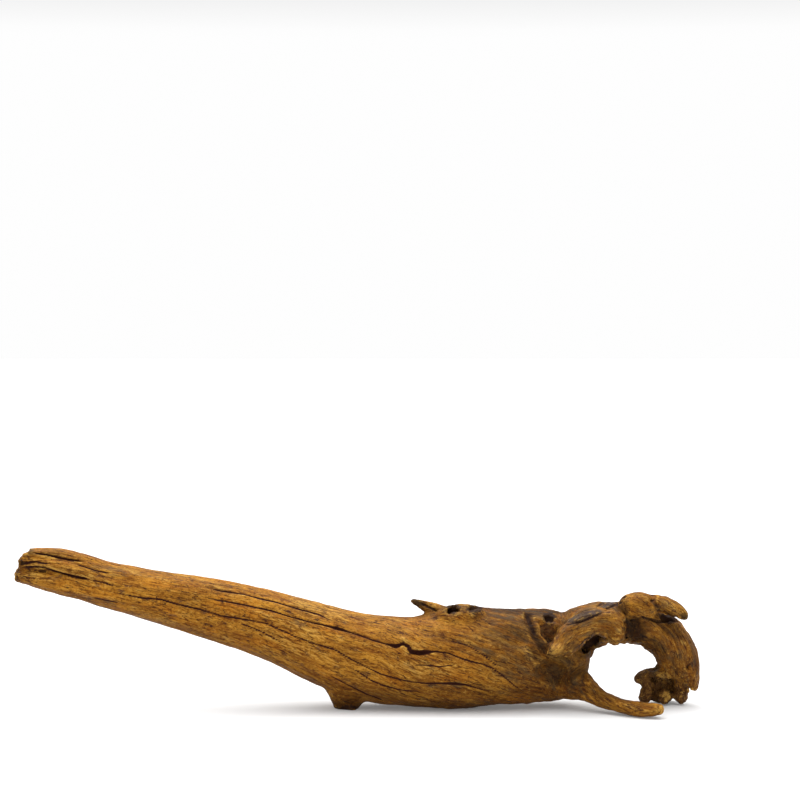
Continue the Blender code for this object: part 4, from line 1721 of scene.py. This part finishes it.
OCHRE = WoodFinish("ochre weathered wood", "ochre_wood")
WORN = WoodFinish("orange brown worn wood", "worn_wood")
ROOT = WoodFinish("dark brown root wood", "root_wood")
LOG_PIECES = (
    LogPiece(Node.TRUNK, OCHRE),
    LogPiece(Node.BROKEN_STUB, WORN),
    LogPiece(Node.UPPER_LIMB, WORN),
    LogPiece(Node.LOWER_PRONG, WORN),
    LogPiece(Node.ROOT_KNOT, ROOT),
)


def carve(skin: Skin) -> LogMap:
    """Carves and paints the whole skin.

    Args:
        skin: the smooth skin.

    Returns:
        Where its pieces lie.
    """
    where = LogMap(skin)
    carver = Carver(skin, where, Eye())
    carver.weather()
    for trace in CRACKS:
        carver.crack(trace)
    for shape in DENTS:
        carver.dent(shape)
    for patch in PATCHES:
        carver.paint(patch)
    carver.mark(Mark.ROOT, where.shares[Node.ROOT_KNOT])
    carver.finish()
    skin.places[:, 2] = np.maximum(skin.places[:, 2], 0.0)
    return where


FIT_DEPTH = 0.006  # how deep the skin is bent where it would stand out of the box, in metres
FIT_MARGIN = 0.00004  # how far inside the box it ends
FIT_SLACK = 1e-7
LENGTH_TRIM = 0.9955  # how much shorter the log is than its rings say


def fit_inside(places: np.ndarray) -> np.ndarray:
    """Draws places in a little, where they would stand out of the CAD's box.

    Args:
        places: places in the row frame, in metres.

    Returns:
        The places, all inside the box.
    """
    fitted = places * (LENGTH_TRIM, 1.0, 1.0)
    for corner, side in zip(CAD_BOX, (-1.0, 1.0)):
        for axis, limit in enumerate(corner):
            start = limit * side - FIT_DEPTH
            beyond = fitted[:, axis] * side - start
            most = beyond.max()
            if most <= FIT_DEPTH + FIT_SLACK:
                continue
            share = np.maximum(beyond, 0.0) / most
            bend = most / FIT_DEPTH
            drawn = start + (FIT_DEPTH - FIT_MARGIN) * (bend * share + (1.0 - bend) * share**2)
            fitted[:, axis] = np.where(beyond > 0.0, drawn * side, fitted[:, axis])
            log.info("skin drawn in by %.2f mm along axis %d", (most - FIT_DEPTH) / MM, axis)
    return fitted


def part_skin(skin: Skin, where: LogMap) -> dict[Node, bpy.types.Object]:
    """Parts the skin at its forks, and closes each piece where it was parted.

    Args:
        skin: the finished skin.
        where: which piece each corner belongs to.

    Returns:
        One object for each piece.
    """
    item = skin.item
    mesh = item.data
    write_places(mesh, fit_inside((skin.places + CENTRE) * MM))
    nodes = list(Node)
    votes = np.stack([(where.node[skin.faces] == number).sum(axis=1) for number in range(len(nodes))])
    number = mesh.attributes.new("piece", "INT", "FACE")
    number.data.foreach_set("value", np.argmax(votes, axis=0).astype(np.int32))
    put_attribute(mesh, "skin_normal", skin.normals())
    put_attribute(mesh, "grain", where.grain)
    put_attribute(mesh, "place", skin.places)
    for mark in Mark:
        put_attribute(mesh, mark.value, skin.marks[mark])
    pieces = {Node.TRUNK: item}
    bpy.context.tool_settings.mesh_select_mode = (False, False, True)
    for number, node in enumerate(nodes):
        if node is not Node.TRUNK:
            pieces[node] = take_out(item, number)
    for node, piece in pieces.items():
        piece.name = node.value + "_wood"
        close_piece(piece)
    return pieces


def take_out(item: bpy.types.Object, number: int) -> bpy.types.Object:
    """Separates the faces of one piece from the skin.

    Args:
        item: what is left of the skin.
        number: the piece's number.

    Returns:
        The new object.
    """
    select_only(item)
    own = np.empty(len(item.data.polygons), np.int32)
    item.data.attributes["piece"].data.foreach_get("value", own)
    bpy.ops.object.mode_set(mode="EDIT")
    bpy.ops.mesh.select_all(action="DESELECT")
    bpy.ops.object.mode_set(mode="OBJECT")
    item.data.polygons.foreach_set("select", own == number)
    bpy.ops.object.mode_set(mode="EDIT")
    bpy.ops.mesh.separate(type="SELECTED")
    bpy.ops.object.mode_set(mode="OBJECT")
    return next(other for other in bpy.context.selected_objects if other is not item)


def put_attribute(mesh: bpy.types.Mesh, name: str, values: np.ndarray) -> None:
    """Stores values on the corners of a mesh, single ones or rows of three."""
    kind, field = ("FLOAT", "value") if values.ndim == 1 else ("FLOAT_VECTOR", "vector")
    mesh.attributes.new(name, kind, "POINT").data.foreach_set(field, values.astype(np.float32).ravel())


def close_piece(piece: bpy.types.Object) -> None:
    """Closes a piece where it was parted, and shades it as the whole skin was.

    Args:
        piece: the parted piece.
    """
    select_only(piece)
    bpy.ops.object.mode_set(mode="EDIT")
    bpy.ops.mesh.select_mode(type="VERT")
    bpy.ops.mesh.select_all(action="DESELECT")
    bpy.ops.mesh.select_non_manifold(
        extend=False, use_wire=False, use_boundary=True, use_multi_face=False,
        use_non_contiguous=False, use_verts=False,
    )
    bpy.ops.mesh.fill_holes(sides=0)
    bpy.ops.object.mode_set(mode="OBJECT")
    bpy.ops.object.shade_smooth()
    mesh = piece.data
    normals = np.empty(len(mesh.vertices) * 3, np.float32)
    mesh.attributes["skin_normal"].data.foreach_get("vector", normals)
    mesh.normals_split_custom_set_from_vertices(normals.reshape(-1, 3))
    for name in ("skin_normal", "piece"):
        mesh.attributes.remove(mesh.attributes[name])


@dataclass(frozen=True)
class Studio:
    """The pale floor, the soft key light and the white dome, in metres."""

    floor_size: float = 12.0
    floor_place: tuple[float, float, float] = (0.0, 2.0, 0.0)
    floor_tone: float = 0.6
    floor_roughness: float = 0.9
    floor_glow: float = 0.13  # a faint light of its own, so that the shadows stay light
    key_place: tuple[float, float, float] = (-0.25, 0.5, 1.3)
    key_aim: tuple[float, float, float] = (0.0, 0.0, 0.05)
    key_power: float = 12.5
    key_size: float = 1.3
    sky_bands: tuple[tuple[float, float], ...] = ((0.12, 0.33), (0.2, 0.14), (0.5, 0.22), (0.85, 1.0))
    sky_strength: float = 3.0

    def build(self) -> None:
        """Adds the floor, the sky and the key light, and sets how the picture is shown."""
        self.build_floor()
        self.build_sky()
        self.build_key_light()
        bpy.context.scene.view_settings.view_transform = "Standard"

    def build_floor(self) -> None:
        """Adds the floor, which is there only for the picture."""
        deselect()
        bpy.ops.mesh.primitive_plane_add(size=self.floor_size, location=self.floor_place)
        floor = bpy.context.object
        floor.name = "floor"
        paint = bpy.data.materials.new("pale floor")
        paint.use_nodes = True
        inputs = paint.node_tree.nodes["Principled BSDF"].inputs
        inputs["Base Color"].default_value = (*[self.floor_tone] * 3, 1.0)
        inputs["Roughness"].default_value = self.floor_roughness
        inputs["Emission Color"].default_value = (1.0, 1.0, 1.0, 1.0)
        inputs["Emission Strength"].default_value = self.floor_glow
        floor.data.materials.append(paint)

    def build_key_light(self) -> None:
        """Adds the soft light above and behind the log."""
        bpy.ops.object.light_add(type="AREA", location=self.key_place)
        key = bpy.context.object
        key.name = "key_light"
        key.data.energy = self.key_power
        key.data.size = self.key_size
        key.rotation_euler = (Vector(self.key_aim) - key.location).to_track_quat("-Z", "Y").to_euler()

    def build_sky(self) -> None:
        """Makes a white dome: pale at eye level, dim above that, and bright overhead."""
        world = bpy.data.worlds.new("studio")
        world.use_nodes = True
        nodes = world.node_tree.nodes
        links = world.node_tree.links
        way = nodes.new("ShaderNodeTexCoord")
        parts = nodes.new("ShaderNodeSeparateXYZ")
        bands = nodes.new("ShaderNodeValToRGB")
        stops = bands.color_ramp.elements
        for index, (rise, level) in enumerate(self.sky_bands):
            stop = stops[index] if index < 2 else stops.new(rise)
            stop.position = rise
            stop.color = (level, level, level, 1.0)
        bright = nodes.new("ShaderNodeMath")
        bright.operation = "MULTIPLY"
        bright.inputs[1].default_value = self.sky_strength
        links.new(way.outputs["Generated"], parts.inputs[0])
        links.new(parts.outputs["Z"], bands.inputs[0])
        links.new(bands.outputs["Color"], bright.inputs[0])
        links.new(bright.outputs[0], nodes["Background"].inputs["Strength"])
        nodes["Background"].inputs["Color"].default_value = (1.0, 1.0, 1.0, 1.0)
        bpy.context.scene.world = world


def main() -> None:
    """Builds the log, its finish and the studio."""
    logging.basicConfig(level=logging.INFO, format="%(message)s")
    skin = model_skin()
    log.info("skin: %d corners, %d faces", len(skin.places), len(skin.faces))
    where = carve(skin)
    pieces = part_skin(skin, where)
    for log_piece in LOG_PIECES:
        log_piece.dress(pieces[log_piece.node])
    Eye().build()
    Studio().build()


if __name__ == "__main__":
    main()
